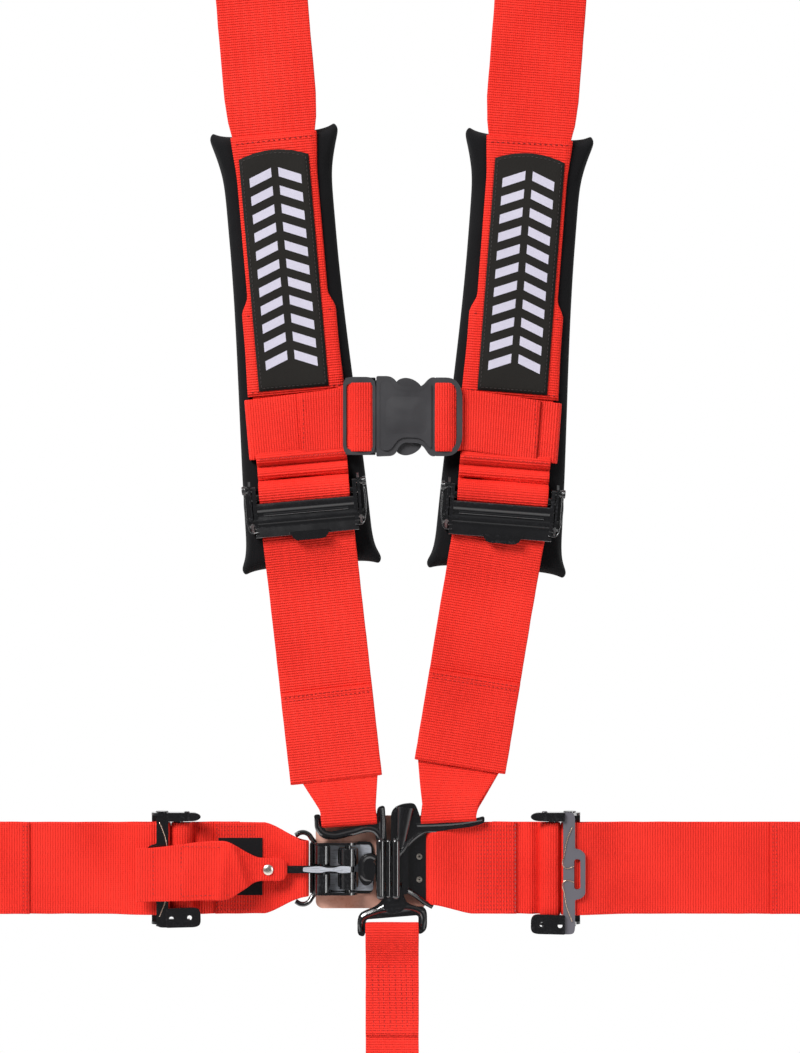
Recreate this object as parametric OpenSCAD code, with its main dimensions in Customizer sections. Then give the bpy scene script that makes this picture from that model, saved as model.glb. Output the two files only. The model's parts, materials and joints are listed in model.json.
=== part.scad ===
// Five-strap racing harness with a lever latch, laid out as it hangs from its shoulder anchors.
// Frame: +Z up along the shoulder straps, -Y towards the front, origin midway between the
// shoulder anchor bolts. Every length is in millimetres.

/* [Webbing] */
// Width of the shoulder and lap webbing
web_w = 76.2; // [72:0.1:76.2]
// Thickness of all the strap webbing
web_t = 1.5; // [1.2:0.1:1.5]
// Width of the crotch strap
crotch_w = 44; // [38:1:44]
// Width of the sternum strap
sternum_w = 50; // [44:1:50]
// Width of webbing where it is bunched into a slot
bunch_w = 47; // [42:1:48]

/* [Shoulder straps] */
// Distance between the two shoulder anchor bolts
anchor_spacing = 260; // [255:1:265]
// Lean of the left shoulder strap towards the middle, degrees
lean_left = 5; // [4.8:0.1:5.2]
// Lean of the right shoulder strap towards the middle, degrees
lean_right = 4.4; // [4.2:0.1:4.6]
// Lean of the left strap below its adjuster, degrees
lower_lean_left = 6.4; // [6:0.1:6.6]
// Lean of the right strap below its adjuster, degrees
lower_lean_right = 9.4; // [9:0.1:9.6]
// Distance from the left anchor bolt to the left adjuster's fixed bar
drop_left = 586.5; // [582:0.5:588]
// Distance from the right anchor bolt to the right adjuster's fixed bar
drop_right = 589.3; // [585:0.1:591]
// Length of the left free tail below its slide bar
tail_left = 217; // [180:1:220]
// Length of the right free tail below its slide bar
tail_right = 204; // [170:1:208]
// Length of the folded hem at the end of each tail
hem = 75; // [40:1:90]

/* [Shoulder pads] */
// Length of each pad
pad_l = 365; // [340:1:370]
// Width of a pad across its top
pad_w_top = 98; // [90:1:104]
// Width of a pad across its bottom
pad_w_bottom = 112; // [100:1:116]
// Thickness of a pad
pad_t = 14; // [8:1:18]
// Length of the webbing sleeve that holds the pad on its strap
sleeve_l = 217; // [190:1:220]
// Width of the label patch
label_w = 58; // [40:1:66]
// Length of the label patch
label_l = 199; // [150:1:205]

/* [Adjusters] */
// Fixed bar to slide bar on a shoulder adjuster
shoulder_gap = 20; // [18:1:22]
// Fixed bar to slide bar on a lap adjuster
lap_gap = 14; // [14:0.5:15]
// Radius of an adjuster's fixed bar
fixed_r = 3.4; // [2.5:0.1:3.5]
// Radius of an adjuster's slide bar
slide_r = 3.7; // [3:0.1:3.7]
// Travel of a slide bar in its slots
slide_travel = 2; // [1:0.5:2]
// Thickness of the stamped steel
sheet = 2; // [1.5:0.1:2]

/* [Latch] */
// Height of the latch's centre line
latch_z = -894; // [-896:1:-893]
// Half the height of the latch base
base_h = 21.6; // [20.6:0.1:22]
// Radius of the lever's hub
hub_r = 7; // [6:0.1:7]
// Radius of the latch's hinge pins
pin_r = 2.5; // [2:0.1:2.6]

/* [Lap and crotch straps] */
// Distance between the two lap anchor bolts
lap_span = 912; // [880:2:960]
// Place of the left lap adjuster's fixed bar, left of the middle
lap_fixed_left = 183; // [180:1:186]
// Place of the right lap adjuster's fixed bar, right of the middle
lap_fixed_right = 126.5; // [124:0.5:130]
// Reach of both lap tails from the middle
lap_tail = 345; // [320:5:350]
// Height of the crotch anchor bolt
crotch_anchor_z = -1189; // [-1230:1:-1160]
// Radius of the anchor bolt holes, for 7/16 inch bolts
bolt_r = 5.75; // [5.5:0.05:6.6]

/* [Hidden] */
$fn = 32;

WEB = [0.92, 0.12, 0.08];
BLACK = [0.09, 0.09, 0.1];
STEEL = [0.75, 0.75, 0.77];

// Depths of the layers at the shoulder straps, from the pad forwards
skin = 0.06;
pitch = web_t + skin;
pad_y = -1.5;
clear = 0.3;
y_band_back = pad_y - clear - web_t / 2;
y_fold = y_band_back - pitch;
y_main = y_fold - pitch;
label_t = 0.7;
sleeve_back = y_main - web_t / 2 - clear;
sleeve_front = sleeve_back - web_t;
y_band = sleeve_front - label_t - clear - web_t / 2;
y_band_top = y_band - pitch;
// Depths of the layers of the lap, crotch and lower shoulder straps
y_lap_fold = -5.15;
y_lap = y_lap_fold - pitch;
y_lap_front = y_lap - pitch;
y_hem = y_lap_front - pitch;
bar_y = -12;
bar_half = 2.6;
plate_t = 3.2;
fixed_loop = fixed_r + 0.5 + web_t / 2;
slide_loop = slide_r + 0.45 + web_t / 2;
slot_loop = 3.25 + web_t / 2;
// Small step between two stretches of one strap that run at different angles
join_step = 0.02;
// Anchor plates
anchor_t = 3;
anchor_bar = 38;
anchor_loop = 3.35 + web_t / 2;
lap_plate_y = -6;
// Adjuster frame: inside half width, cheek depths, pivot of the release plate
cheek_in = 44;
cheek_front = -21;
cheek_back = -3.8;
cheek_top = 14;
cheek_tail = 9;
pivot_y = -17.5;
pivot_z = 7;
pivot_r = 2;
arm_in = 41;
plate_back = -18;
spring_r = 0.6;
// Pad and sleeve heights above the fixed bar
pad_top = 304;
sleeve_bottom = 83;
band_up = 57;
strap_end_up = 82;
// Latch
latch_y = -14.2;
hub_x = -43;
roller_x = -64;
roller_r = 6.5;
lever_half = 3.3;
lever_front = -21;
lever_back = -17.6;
lever_eye_x = -108.7;
lap_bar_x = -80;
link_bar_x = 27.3;
link_y = -8.2;
blade_half = 11;
buckle_z = -521.5;
tongue_left = [-42, -854.5];
tongue_right = [40, -852];
tongue_tilt_left = -4;
tongue_tilt_right = -3.2;
crotch_x = -6.5;
crotch_bar_z = -944.5;
crotch_front_z = -1033;

function lean(side) = side < 0 ? lean_left : lean_right;
function lower_lean(side) = side < 0 ? lower_lean_left : lower_lean_right;
function drop(side) = side < 0 ? drop_left : drop_right;
function tail(side) = side < 0 ? tail_left : tail_right;
function tongue(side) = side < 0 ? tongue_left : tongue_right;
function tongue_tilt(side) = side < 0 ? tongue_tilt_left : tongue_tilt_right;
function lap_fixed(side) = side < 0 ? lap_fixed_left : lap_fixed_right;
function lap_end(side) = side < 0 ? lap_fixed_left + lap_bar_x : lap_fixed_right - link_bar_x;
function lap_end_y(side) = side < 0 ? bar_y : link_y;
// Row place of a point at height z of a shoulder strap's adjuster frame
function on_strap(side, z) = [
  side * (anchor_spacing / 2 - (drop(side) - z) * sin(lean(side))),
  -(drop(side) - z) * cos(lean(side))
];
function slide_place(side) = on_strap(side, -shoulder_gap);
// Place of a tongue's bar in the frame of the lower strap
function lower_end(side) =
  let (v = tongue(side) - slide_place(side), a = side * lower_lean(side))
  [v[0] * cos(a) - v[1] * sin(a), v[0] * sin(a) + v[1] * cos(a)];

// Points of an arc about c, and the points between a and b of a smooth S
function arc(c, r, from, to, n = 10) =
  [for (i = [0:n]) c + r * [cos(from + (to - from) * i / n), sin(from + (to - from) * i / n)]];
function ease(a, b, n = 8) =
  [for (i = [1:n - 1]) [a[0] + (b[0] - a[0]) * (1 - cos(180 * i / n)) / 2, a[1] + (b[1] - a[1]) * i / n]];
// Outline of a band of thickness t along the points p
function unit(v) = v / norm(v);
function turned(v) = [-v[1], v[0]];
function edge_point(p, i, d) =
  let (
    a = unit(i > 0 ? p[i] - p[i - 1] : p[1] - p[0]),
    b = unit(i < len(p) - 1 ? p[i + 1] - p[i] : p[i] - p[i - 1]),
    m = unit(turned(a + b))
  )
  p[i] + m * d / max(0.4, m * turned(a));
function band_outline(p, t) = concat(
  [for (i = [0:len(p) - 1]) edge_point(p, i, t / 2)],
  [for (i = [len(p) - 1:-1:0]) edge_point(p, i, -t / 2)]
);
// Webbing along points (y, z), with its width along X
module webbing(p, w, t = web_t) {
  rotate([90, 0, 90]) linear_extrude(w, center = true) polygon(band_outline(p, t));
}
// A slab through all depths, cut to an outline of (x, z) points
module through(points, front = -60, depth = 120) {
  translate([0, front + depth, 0]) rotate([90, 0, 0]) linear_extrude(depth) polygon(points);
}
// A cylinder along Y, and one along X
module rod_y(r, from, to) {
  translate([0, to, 0]) rotate([90, 0, 0]) cylinder(r = r, h = to - from);
}
module rod_x(r, length) {
  rotate([0, 90, 0]) cylinder(r = r, h = length, center = true);
}
module box(low, high) {
  translate(low) cube(high - low);
}

// Frames: an adjuster's own frame has its fixed bar at height 0, its fixed strap above and
// its width along X.
module shoulder_frame(side) {
  translate([on_strap(side, 0)[0], 0, on_strap(side, 0)[1]])
    rotate([0, side * lean(side), 0]) children();
}
module lower_frame(side) {
  translate([slide_place(side)[0], 0, slide_place(side)[1]])
    rotate([0, side * lower_lean(side), 0]) children();
}
module tongue_frame(side) {
  translate([tongue(side)[0], 0, tongue(side)[1]]) rotate([0, tongue_tilt(side), 0]) children();
}
module lap_frame(side) {
  translate([side * lap_fixed(side), 0, latch_z]) rotate([0, -side * 90, 0]) children();
}

// Anchor plates: the bolt hole is at the origin and the strap leaves downwards.
module anchor_plate(w) {
  slot_half = w / 2 + 1.5;
  side_half = slot_half + 6;
  ear_r = 16;
  slot_top = -26;
  bar_top = -anchor_bar + 2.5;
  bar_bottom = -anchor_bar - 2.5;
  difference() {
    union() {
      rod_y(ear_r, -anchor_t / 2, anchor_t / 2);
      through(
        [
          [-ear_r, 0], [ear_r, 0], [side_half, slot_top + 6], [side_half, bar_bottom],
          [-side_half, bar_bottom], [-side_half, slot_top + 6]
        ],
        -anchor_t / 2, anchor_t
      );
    }
    rod_y(bolt_r, -anchor_t, anchor_t);
    box([-slot_half, -anchor_t, bar_top], [slot_half, anchor_t, slot_top]);
  }
}
module shoulder_anchor_plate(side) {
  color(STEEL) translate([side * anchor_spacing / 2, 0, 0]) rotate([0, side * lean(side), 0])
    anchor_plate(web_w);
}
module lap_anchor_plate(side) {
  color(STEEL) translate([side * lap_span / 2, lap_plate_y, latch_z]) rotate([0, side * 90, 0])
    anchor_plate(web_w);
}
module crotch_anchor_plate() {
  color(STEEL) translate([crotch_x, lap_plate_y, crotch_anchor_z]) rotate([0, 180, 0])
    anchor_plate(crotch_w);
}

// Shoulder webbing
module shoulder_strap_upper(side) {
  top = drop(side) - anchor_bar;
  fixed_front = bar_y - fixed_loop;
  fixed_back = bar_y + fixed_loop;
  color(WEB) shoulder_frame(side) webbing(
    concat(
      [[y_fold, top - 110], [y_fold, top - 70]],
      ease([y_fold, top - 70], [anchor_loop, top]),
      arc([0, top], anchor_loop, 0, 180),
      ease([-anchor_loop, top], [y_main, top - 45]),
      [[y_main, top - 45], [y_main, 30]],
      ease([y_main, 30], [fixed_front, 0]),
      arc([bar_y, 0], fixed_loop, 180, 360),
      ease([fixed_back, 0], [y_fold, 28]),
      [[y_fold, 28], [y_fold, strap_end_up]]
    ),
    web_w
  );
}
module slide_loop_band(gap, reach) {
  webbing(
    concat(
      [[bar_y - slide_loop, -gap - reach]],
      arc([bar_y, slide_travel - gap], slide_loop, 180, 0),
      [[bar_y + slide_loop, -gap - reach]]
    ),
    web_w
  );
}
module shoulder_strap_lower(side) {
  end = lower_end(side);
  half = web_w / 2;
  bunch = bunch_w / 2;
  slot_front = bar_y - slot_loop;
  slot_back = bar_y + slot_loop;
  lap_over = 12;
  tail_bottom = -tail(side);
  color(WEB) {
    shoulder_frame(side) slide_loop_band(shoulder_gap, lap_over);
    lower_frame(side) translate([0, join_step, 0]) {
      webbing(
        concat(
          [[bar_y - slide_loop, -2], [bar_y - slide_loop, -lap_over]],
          ease([bar_y - slide_loop, -lap_over], [y_lap_front, -60]),
          [[y_lap_front, -60]],
          arc([(y_lap_front + y_hem) / 2, tail_bottom], pitch / 2, 360, 180, 8),
          [[y_hem, tail_bottom + hem]]
        ),
        web_w
      );
      intersection() {
        union() {
          webbing(
            concat(
              [[bar_y + slide_loop, -2], [bar_y + slide_loop, -lap_over]],
              ease([bar_y + slide_loop, -lap_over], [y_lap, -40]),
              [[y_lap, -40], [y_lap, end[1] + 31]],
              ease([y_lap, end[1] + 31], [slot_front, end[1] + 11]),
              [[slot_front, end[1] + 11], [slot_front, end[1] + 3]]
            ),
            web_w
          );
          webbing(
            concat(
              [[slot_back, end[1] + 3], [slot_back, end[1] + 11]],
              ease([slot_back, end[1] + 11], [y_lap_fold, end[1] + 31]),
              [[y_lap_fold, end[1] + 31], [y_lap_fold, end[1] + 80]]
            ),
            web_w
          );
        }
        through([
          [-half, 5], [-half, end[1] + 55], [end[0] - bunch, end[1] + 16],
          [end[0] - bunch, end[1] - 5], [end[0] + bunch, end[1] - 5],
          [end[0] + bunch, end[1] + 16], [half, end[1] + 50], [half, 5]
        ]);
      }
    }
    tongue_frame(side) webbing(
      concat([[slot_front, 10]], arc([bar_y, 0], slot_loop, 180, 360), [[slot_back, 10]]),
      bunch_w
    );
  }
}

// Pads: a plain closed solid, with the sleeve that carries it on the strap and the label
module shoulder_pad(side) {
  waist = 48;
  color(BLACK) shoulder_frame(side) through(
    [
      [-pad_w_top / 2, pad_top], [-waist, 150], [-pad_w_bottom / 2, pad_top - pad_l],
      [pad_w_bottom / 2, pad_top - pad_l], [waist, 150], [pad_w_top / 2, pad_top]
    ],
    pad_y, pad_t
  );
}
sleeve_in = web_w / 2 + 0.5;
sleeve_out = sleeve_in + web_t;
module pad_sleeve(side) {
  color(WEB) shoulder_frame(side) difference() {
    box([-sleeve_out, sleeve_front, sleeve_bottom], [sleeve_out, pad_y, sleeve_bottom + sleeve_l]);
    box([-sleeve_in, sleeve_back, 0], [sleeve_in, 5, pad_top + 10]);
  }
}
module pad_label(side) {
  bottom = sleeve_bottom + 5;
  arch = 6;
  color(BLACK) shoulder_frame(side) through(
    concat(
      [[-label_w / 2, bottom], [label_w / 2, bottom]],
      [for (i = [0:8]) [label_w / 2 * (1 - i / 4), bottom + label_l - arch * pow(1 - i / 4, 2)]]
    ),
    sleeve_front - label_t, label_t
  );
}

// Adjusters, in the adjuster frame
module adjuster_frame(gap) {
  bottom = -gap - cheek_tail;
  tie = 6;
  difference() {
    union() {
      for (s = [-1, 1]) translate([s * (cheek_in + sheet / 2), 0, 0]) rotate([90, 0, 90])
        linear_extrude(sheet, center = true) polygon([
          [cheek_back, bottom], [cheek_back, cheek_top - 6], [cheek_back - 6, cheek_top],
          [cheek_front + 4, cheek_top], [cheek_front, cheek_top - 4], [cheek_front, bottom + 8],
          [cheek_front + 8, bottom]
        ]);
      translate([0, bar_y, 0]) rod_x(fixed_r, 2 * cheek_in);
      box([-cheek_in, cheek_back - sheet, bottom], [cheek_in, cheek_back, bottom + tie]);
    }
    translate([0, pivot_y, pivot_z]) rod_x(pivot_r + 0.08, 3 * cheek_in);
    for (s = [-1, 1]) {
      for (z = [-gap, slide_travel - gap])
        translate([s * (cheek_in + sheet / 2), bar_y, z]) rod_x(slide_r + 0.4, 2 * sheet);
      translate([s * (cheek_in + sheet / 2), bar_y, slide_travel / 2 - gap])
        cube([2 * sheet, 2 * slide_r + 0.8, slide_travel], center = true);
    }
  }
}
// Release plate, hinged on the cheeks. A lap plate has a finger slot, a shoulder plate a lip.
module release_plate(gap, top, finger) {
  plate_front = plate_back - sheet;
  bottom = -gap - 4;
  difference() {
    union() {
      for (s = [-1, 1]) translate([s * (arm_in + sheet / 2), 0, 0]) {
        box([-sheet / 2, plate_front, top], [sheet / 2, bar_y - fixed_r - clear, pivot_z + 2.5]);
        translate([s * (sheet / 2 + cheek_in - arm_in) / 2, pivot_y, pivot_z])
          rod_x(pivot_r, cheek_in - arm_in + sheet / 2);
      }
      box([-arm_in - sheet, plate_front, bottom], [arm_in + sheet, plate_back, top]);
      if (finger)
        through(
          [[-24, bottom], [-20.7, bottom - 3], [-20.7, bottom - 9], [20.7, bottom - 9],
            [20.7, bottom - 3], [24, bottom]],
          plate_front, sheet
        );
      else
        webbing(
          concat([[plate_back - sheet / 2, bottom + 0.5]], ease([plate_back - sheet / 2, bottom + 0.5],
            [plate_back - 4, bottom - 11]), [[plate_back - 4, bottom - 11]]),
          2 * arm_in, sheet
        );
    }
    if (finger) box([-13, plate_front - 1, bottom - 5], [13, plate_back + 1, bottom + 0.5]);
  }
}
module slide_bar(gap) {
  head_r = slide_r + 1.5;
  head_in = cheek_in + sheet + 0.4;
  translate([0, bar_y, -gap]) {
    rod_x(slide_r, 2 * head_in);
    for (s = [-1, 1]) translate([s * (head_in + 0.6), 0, 0]) rod_x(head_r, 1.2);
  }
}
// A torsion spring outside each cheek: three turns and a leg that ends near the slide bar
module adjuster_springs(gap) {
  first = cheek_in + sheet + 2.8;
  turn_r = 3;
  for (s = [-1, 1]) translate([s * first, pivot_y, pivot_z]) {
    for (i = [0:2]) translate([s * i * 1.7 * spring_r, 0, 0]) rotate([0, 90, 0])
      rotate_extrude($fn = 24) translate([turn_r, 0]) circle(spring_r, $fn = 16);
    translate([0, turn_r, -pivot_z - gap + 2])
      cylinder(r = spring_r * 0.9, h = pivot_z + gap - 2, $fn = 16);
  }
}

// Sternum strap: it wraps the shoulder strap and loops through its half of the buckle.
buckle_bar_x = [-31, 36];
buckle_bar_y = -11;
module sternum_strap(side) {
  wrap_c = side * (web_w / 2 + 0.5);
  wrap_r = (y_band_back - y_band) / 2;
  bar_x = side < 0 ? buckle_bar_x[0] : buckle_bar_x[1];
  loop_r = 2.6 + web_t / 2;
  join_x = side * 62;
  fold_x = side < 0 ? -83 : 115;
  color(WEB) {
    shoulder_frame(side) translate([0, 0, band_up]) rotate([0, 0, side < 0 ? 0 : 180])
      linear_extrude(sternum_w, center = true) mirror([0, side < 0 ? 0 : 1]) polygon(band_outline(
        concat(
          [[34, y_band]],
          arc([-abs(wrap_c), (y_band + y_band_back) / 2], wrap_r, 270, 90),
          [[30, y_band_back]]
        ), web_t));
    translate([0, -join_step, buckle_z]) linear_extrude(sternum_w, center = true) polygon(band_outline(
      concat(
        [[join_x, y_band], [bar_x + side * 14, y_band]],
        [for (p = ease([y_band, 14], [buckle_bar_y + loop_r, 0])) [bar_x + side * p[1], p[0]]],
        arc([bar_x, buckle_bar_y], loop_r, 90, 90 + side * 180),
        [for (p = ease([buckle_bar_y - loop_r, 0], [y_band_top, 14])) [bar_x + side * p[1], p[0]]],
        [[bar_x + side * 14, y_band_top], [fold_x, y_band_top]]
      ), web_t));
  }
}

// Side-release buckle
buckle_back = -4;
buckle_front = -16;
cavity = [-12.6, -7.4];
buckle_h = 30;
module buckle_loop(bar_x, out_x, in_x) {
  half = sternum_w / 2 + 1;
  difference() {
    box([out_x, buckle_front, -buckle_h - 1], [in_x, sleeve_front - label_t / 2, buckle_h + 1]);
    box([out_x + 3, buckle_front - 1, -half], [in_x - 3, buckle_back, half]);
    box([out_x - 1, y_band_top - web_t / 2 - clear, -half], [in_x - 3, buckle_back, half]);
  }
  translate([bar_x, buckle_bar_y, -half]) cylinder(r = 2.2, h = 2 * half);
}
module sternum_buckle_plug() {
  color(BLACK) translate([0, 0, buckle_z]) {
    buckle_loop(buckle_bar_x[0], -46.5, -20.2);
    box([-20.2, cavity[0] + 0.4, -7], [12, cavity[1] - 0.4, 7]);
  }
}
module sternum_buckle_socket() {
  notch_top = buckle_h + 2.5;
  notch_in = 23.5;
  color(BLACK) translate([0, 0, buckle_z]) {
    difference() {
      through(
        [
          [-20, -notch_top], [-8, -notch_top], [-3.5, -notch_in], [17, -notch_in], [22, -notch_top],
          [26.8, -notch_top], [26.8, notch_top], [22, notch_top], [17, notch_in], [-3.5, notch_in],
          [-8, notch_top], [-20, notch_top]
        ],
        buckle_front, buckle_back - buckle_front
      );
      box([-21, cavity[0], -28.5], [20, cavity[1], 28.5]);
    }
    mirror([1, 0, 0]) buckle_loop(-buckle_bar_x[1], -51.5, -26.8);
  }
}
// A prong bends inwards at its root when its button is squeezed.
module sternum_buckle_prong(upper) {
  color(BLACK) translate([0, 0, buckle_z]) mirror([0, 0, upper ? 0 : 1]) through(
    [
      [-19.8, 20.5], [-19.8, 26.5], [-9, 25], [-3, 25], [0, 29], [8, 31], [14, 29.5], [16.5, 25],
      [16.5, 19], [10, 17.5], [0, 20.5]
    ],
    cavity[0] + 0.6, cavity[1] - cavity[0] - 1.2
  );
}

// Tongues: each has a slot for its strap and a slotted eye that the link's blade passes through.
eye_half = 21.5;
eye_t = 3;
eye_back = -7;
eye_front = -19.5;
module tongue_slot(half) {
  difference() {
    box([-half - 4, bar_y - plate_t / 2, -13.5], [half + 4, bar_y + plate_t / 2, bar_half]);
    box([-half, bar_y - plate_t, -8.4], [half, bar_y + plate_t, -bar_half]);
  }
}
module eye(x) {
  difference() {
    box([x, eye_front, latch_z - eye_half], [x + eye_t, eye_back, latch_z + eye_half]);
    box(
      [x - 1, latch_y - plate_t / 2 - 0.6, latch_z - blade_half - 1],
      [x + eye_t + 1, latch_y + plate_t / 2 + 0.6, latch_z + blade_half + 1]
    );
  }
}
module neck(from, to) {
  half = plate_t / 2 + 0.3;
  box([from[0], bar_y - half, from[1]], [to[0], bar_y + half, to[1]]);
}
eye_x = [-18.6, -13.2, -7.6];
module shoulder_tongue(side) {
  color(BLACK) {
    tongue_frame(side) tongue_slot(bunch_w / 2 + 3);
    if (side < 0) {
      neck([-21, latch_z + eye_half - 2], [eye_x[1] - clear, -862]);
      eye(eye_x[0]);
    } else {
      neck([-9, latch_z + eye_half + 0.5], [15, -850]);
      neck([eye_x[2], latch_z + eye_half - 2], [eye_x[2] + eye_t, latch_z + eye_half + 2]);
      eye(eye_x[2]);
    }
  }
}
module crotch_tongue() {
  half = crotch_w / 2 + 1.5;
  color(BLACK) {
    translate([crotch_x, 0, crotch_bar_z]) difference() {
      union() {
        box([-half - 5, bar_y - plate_t / 2, -bar_half], [half + 5, bar_y + plate_t / 2, 16]);
        box([-9, bar_y - plate_t / 2, 14], [9, bar_y + plate_t / 2, 28]);
      }
      box([-half, bar_y - plate_t, bar_half], [half, bar_y + plate_t, 10]);
    }
    neck([eye_x[1], crotch_bar_z + 26], [eye_x[1] + eye_t, latch_z - eye_half + 2]);
    eye(eye_x[1]);
  }
}

// Latch
module latch_base() {
  flange = 2;
  left = -71;
  right = -21.5;
  flange_right = -36;
  color(BLACK) translate([0, 0, latch_z]) difference() {
    union() {
      box([left, -6.6, -base_h], [right, -4.6, base_h]);
      for (s = [-1, 1]) {
        z = s > 0 ? base_h - flange : -base_h;
        box([left, -19, z], [flange_right, -6.6, z + flange]);
        mirror([0, 0, s > 0 ? 0 : 1]) {
          through(
            [[left, base_h - flange], [left, base_h], [-76, 28], [-84, 28], [-84, 24.5], [-77, 24.5]],
            -9.9, 5.3
          );
          box([-84, bar_y - bar_half, 24.5], [-76, -9.9, 28]);
        }
      }
      translate([lap_bar_x, bar_y, -25]) cylinder(r = bar_half, h = 50);
    }
    for (x = [hub_x, roller_x])
      translate([x, latch_y, -base_h - 1]) cylinder(r = pin_r + skin, h = 2 * base_h + 2);
  }
}
module latch_rollers() {
  color(BLACK) translate([roller_x, latch_y, latch_z]) for (z = [-base_h + 2.3, 4.3])
    translate([0, 0, z]) difference() {
      cylinder(r = roller_r, h = base_h - 6.6);
      translate([0, 0, -1]) cylinder(r = pin_r + skin, h = base_h);
    }
}
module latch_pin(x) {
  color(STEEL) translate([x, latch_y, latch_z - base_h]) cylinder(r = pin_r, h = 2 * base_h);
}
module latch_lever() {
  hub_half = base_h - 4.2;
  color(BLACK) translate([0, 0, latch_z]) difference() {
    union() {
      translate([hub_x, latch_y, -hub_half]) cylinder(r = hub_r, h = 2 * hub_half);
      box([lever_eye_x, lever_front, -lever_half], [hub_x, lever_back, lever_half]);
      translate([lever_eye_x, 0, 0]) rod_y(7.5, lever_front, lever_back);
    }
    translate([hub_x, latch_y, -base_h]) cylinder(r = pin_r + 0.08, h = 2 * base_h);
    translate([lever_eye_x, 0, 0]) rod_y(3.05, lever_front - 1, lever_back + 1);
  }
}
module latch_claw() {
  color(BLACK) translate([0, 0, latch_z]) intersection() {
    translate([-28, 0, 0]) rod_y(13, -19, -8);
    box([-35.2, -19, -13], [-20.4, -8, 13]);
  }
}
module latch_link() {
  step = 4;
  root = 2;
  plate = [link_y - plate_t / 2, plate_t];
  slot = [19.6, link_bar_x - bar_half];
  color(BLACK) translate([0, 0, latch_z]) difference() {
    union() {
      box([-20.3, latch_y - plate_t / 2, -blade_half], [root, latch_y + plate_t / 2, blade_half]);
      box([root, latch_y - plate_t / 2, -20.5], [root + step, link_y + plate_t / 2, 20.5]);
      through(
        [
          [root + step, -18], [slot[0], -27], [slot[0], -31], [link_bar_x + bar_half, -31],
          [link_bar_x + bar_half, 31], [slot[0], 31], [slot[0], 27], [root + step, 18]
        ],
        plate[0], plate[1]
      );
    }
    box([slot[0], plate[0] - 1, -27], [slot[1], plate[0] + plate_t + 1, 27]);
    for (z = [-9.5, 9.5]) translate([16, 0, z]) rod_y(1.55, plate[0] - 1, plate[0] + plate_t + 1);
  }
}
module link_rivets() {
  color(STEEL) for (z = [-9.5, 9.5]) translate([16, 0, latch_z + z]) difference() {
    union() {
      rod_y(2.4, link_y - plate_t / 2 - 1, link_y - plate_t / 2);
      rod_y(1.5, link_y - plate_t / 2 - 1, -2.1);
    }
    rod_y(0.8, link_y - plate_t / 2 - 2, link_y);
  }
}
module latch_backing_pad() {
  left = -70;
  right = 22;
  top = -851;
  bottom = -928;
  r = 6;
  color([0.66, 0.42, 0.33]) difference() {
    through(
      concat(
        arc([right - r, top - r], r, 0, 90, 6), arc([left + r, top - r], r, 90, 180, 6),
        arc([left + r, bottom + r], r, 180, 270, 6), arc([right - r, bottom + r], r, 270, 360, 6)
      ),
      -4.6, 2.5
    );
    for (z = [-9.5, 9.5]) translate([16, 0, latch_z + z]) rod_y(1.55, -5, -2);
  }
}

// Pull tab: a folded loop of webbing riveted to the lever's end
tab_t = 1.4;
module pull_tab() {
  end_x = -216;
  spread = 1.5;
  top_y = -26.3;
  neck_front = lever_front - 0.3 - tab_t / 2;
  neck_back = lever_back + 0.3 + tab_t / 2;
  function lay(points) = [for (p = points) [p[1], p[0]]];
  color(WEB) difference() {
    intersection() {
      translate([0, 0, latch_z - 40]) linear_extrude(80) polygon(band_outline(
        lay(concat(
          [[neck_front, -93], [neck_front, -118]],
          ease([neck_front, -118], [top_y, -138]),
          [[top_y, -138]],
          arc([top_y + spread / 2, end_x], spread / 2, 180, 360, 6),
          [[top_y + spread, -138]],
          ease([top_y + spread, -138], [neck_back, -117.5]),
          [[neck_back, -117.5], [neck_back, -93]]
        )), tab_t));
      translate([0, 0, latch_z]) through([
        [end_x - 3, -26.5], [-135, -24.5], [-117, -9.5], [-92, -9.5], [-92, 9.5], [-113, 9.5],
        [-124, 16], [-148, 24], [-196, 19], [end_x - 3, 18]
      ]);
    }
    translate([lever_eye_x, 0, latch_z]) rod_y(3.05, -40, 0);
  }
}
module pull_tab_rivet() {
  head = lever_front - 0.3 - tab_t;
  tail_end = lever_back + 0.3 + tab_t;
  color(STEEL) translate([lever_eye_x, 0, latch_z]) difference() {
    union() {
      rod_y(5.2, head - 1, head);
      rod_y(3, head - 1, tail_end + 1);
      rod_y(5.2, tail_end, tail_end + 1);
    }
    rod_y(1.6, head - 2, tail_end + 2);
  }
}

// Lap webbing, in the lap adjuster's frame
module lap_strap_inner(side) {
  end = lap_end(side);
  end_y = lap_end_y(side);
  overlap = 30;
  half = web_w / 2;
  bunch = side < 0 ? bunch_w / 2 : 26;
  narrow = side < 0 ? 8 : 16;
  color(WEB) lap_frame(side) intersection() {
    webbing(
      concat(
        [[y_lap_front, overlap], [y_lap_front, end - 32]],
        ease([y_lap_front, end - 32], [end_y - slot_loop, end]),
        arc([end_y, end], slot_loop, 180, 0),
        ease([end_y + slot_loop, end], [y_lap, end - 32]),
        [[y_lap, end - 32], [y_lap, overlap - 3]],
        ease([y_lap, overlap - 3], [bar_y - fixed_loop, 0]),
        arc([bar_y, 0], fixed_loop, 180, 360),
        ease([bar_y + fixed_loop, 0], [y_lap_fold, 26]),
        [[y_lap_fold, 26], [y_lap_fold, 50]]
      ),
      web_w
    );
    through([
      [-half, -20], [half, -20], [half, end - narrow - 24], [bunch, end - narrow],
      [bunch, end + 10], [-bunch, end + 10], [-bunch, end - narrow], [-half, end - narrow - 24]
    ]);
  }
}
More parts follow.
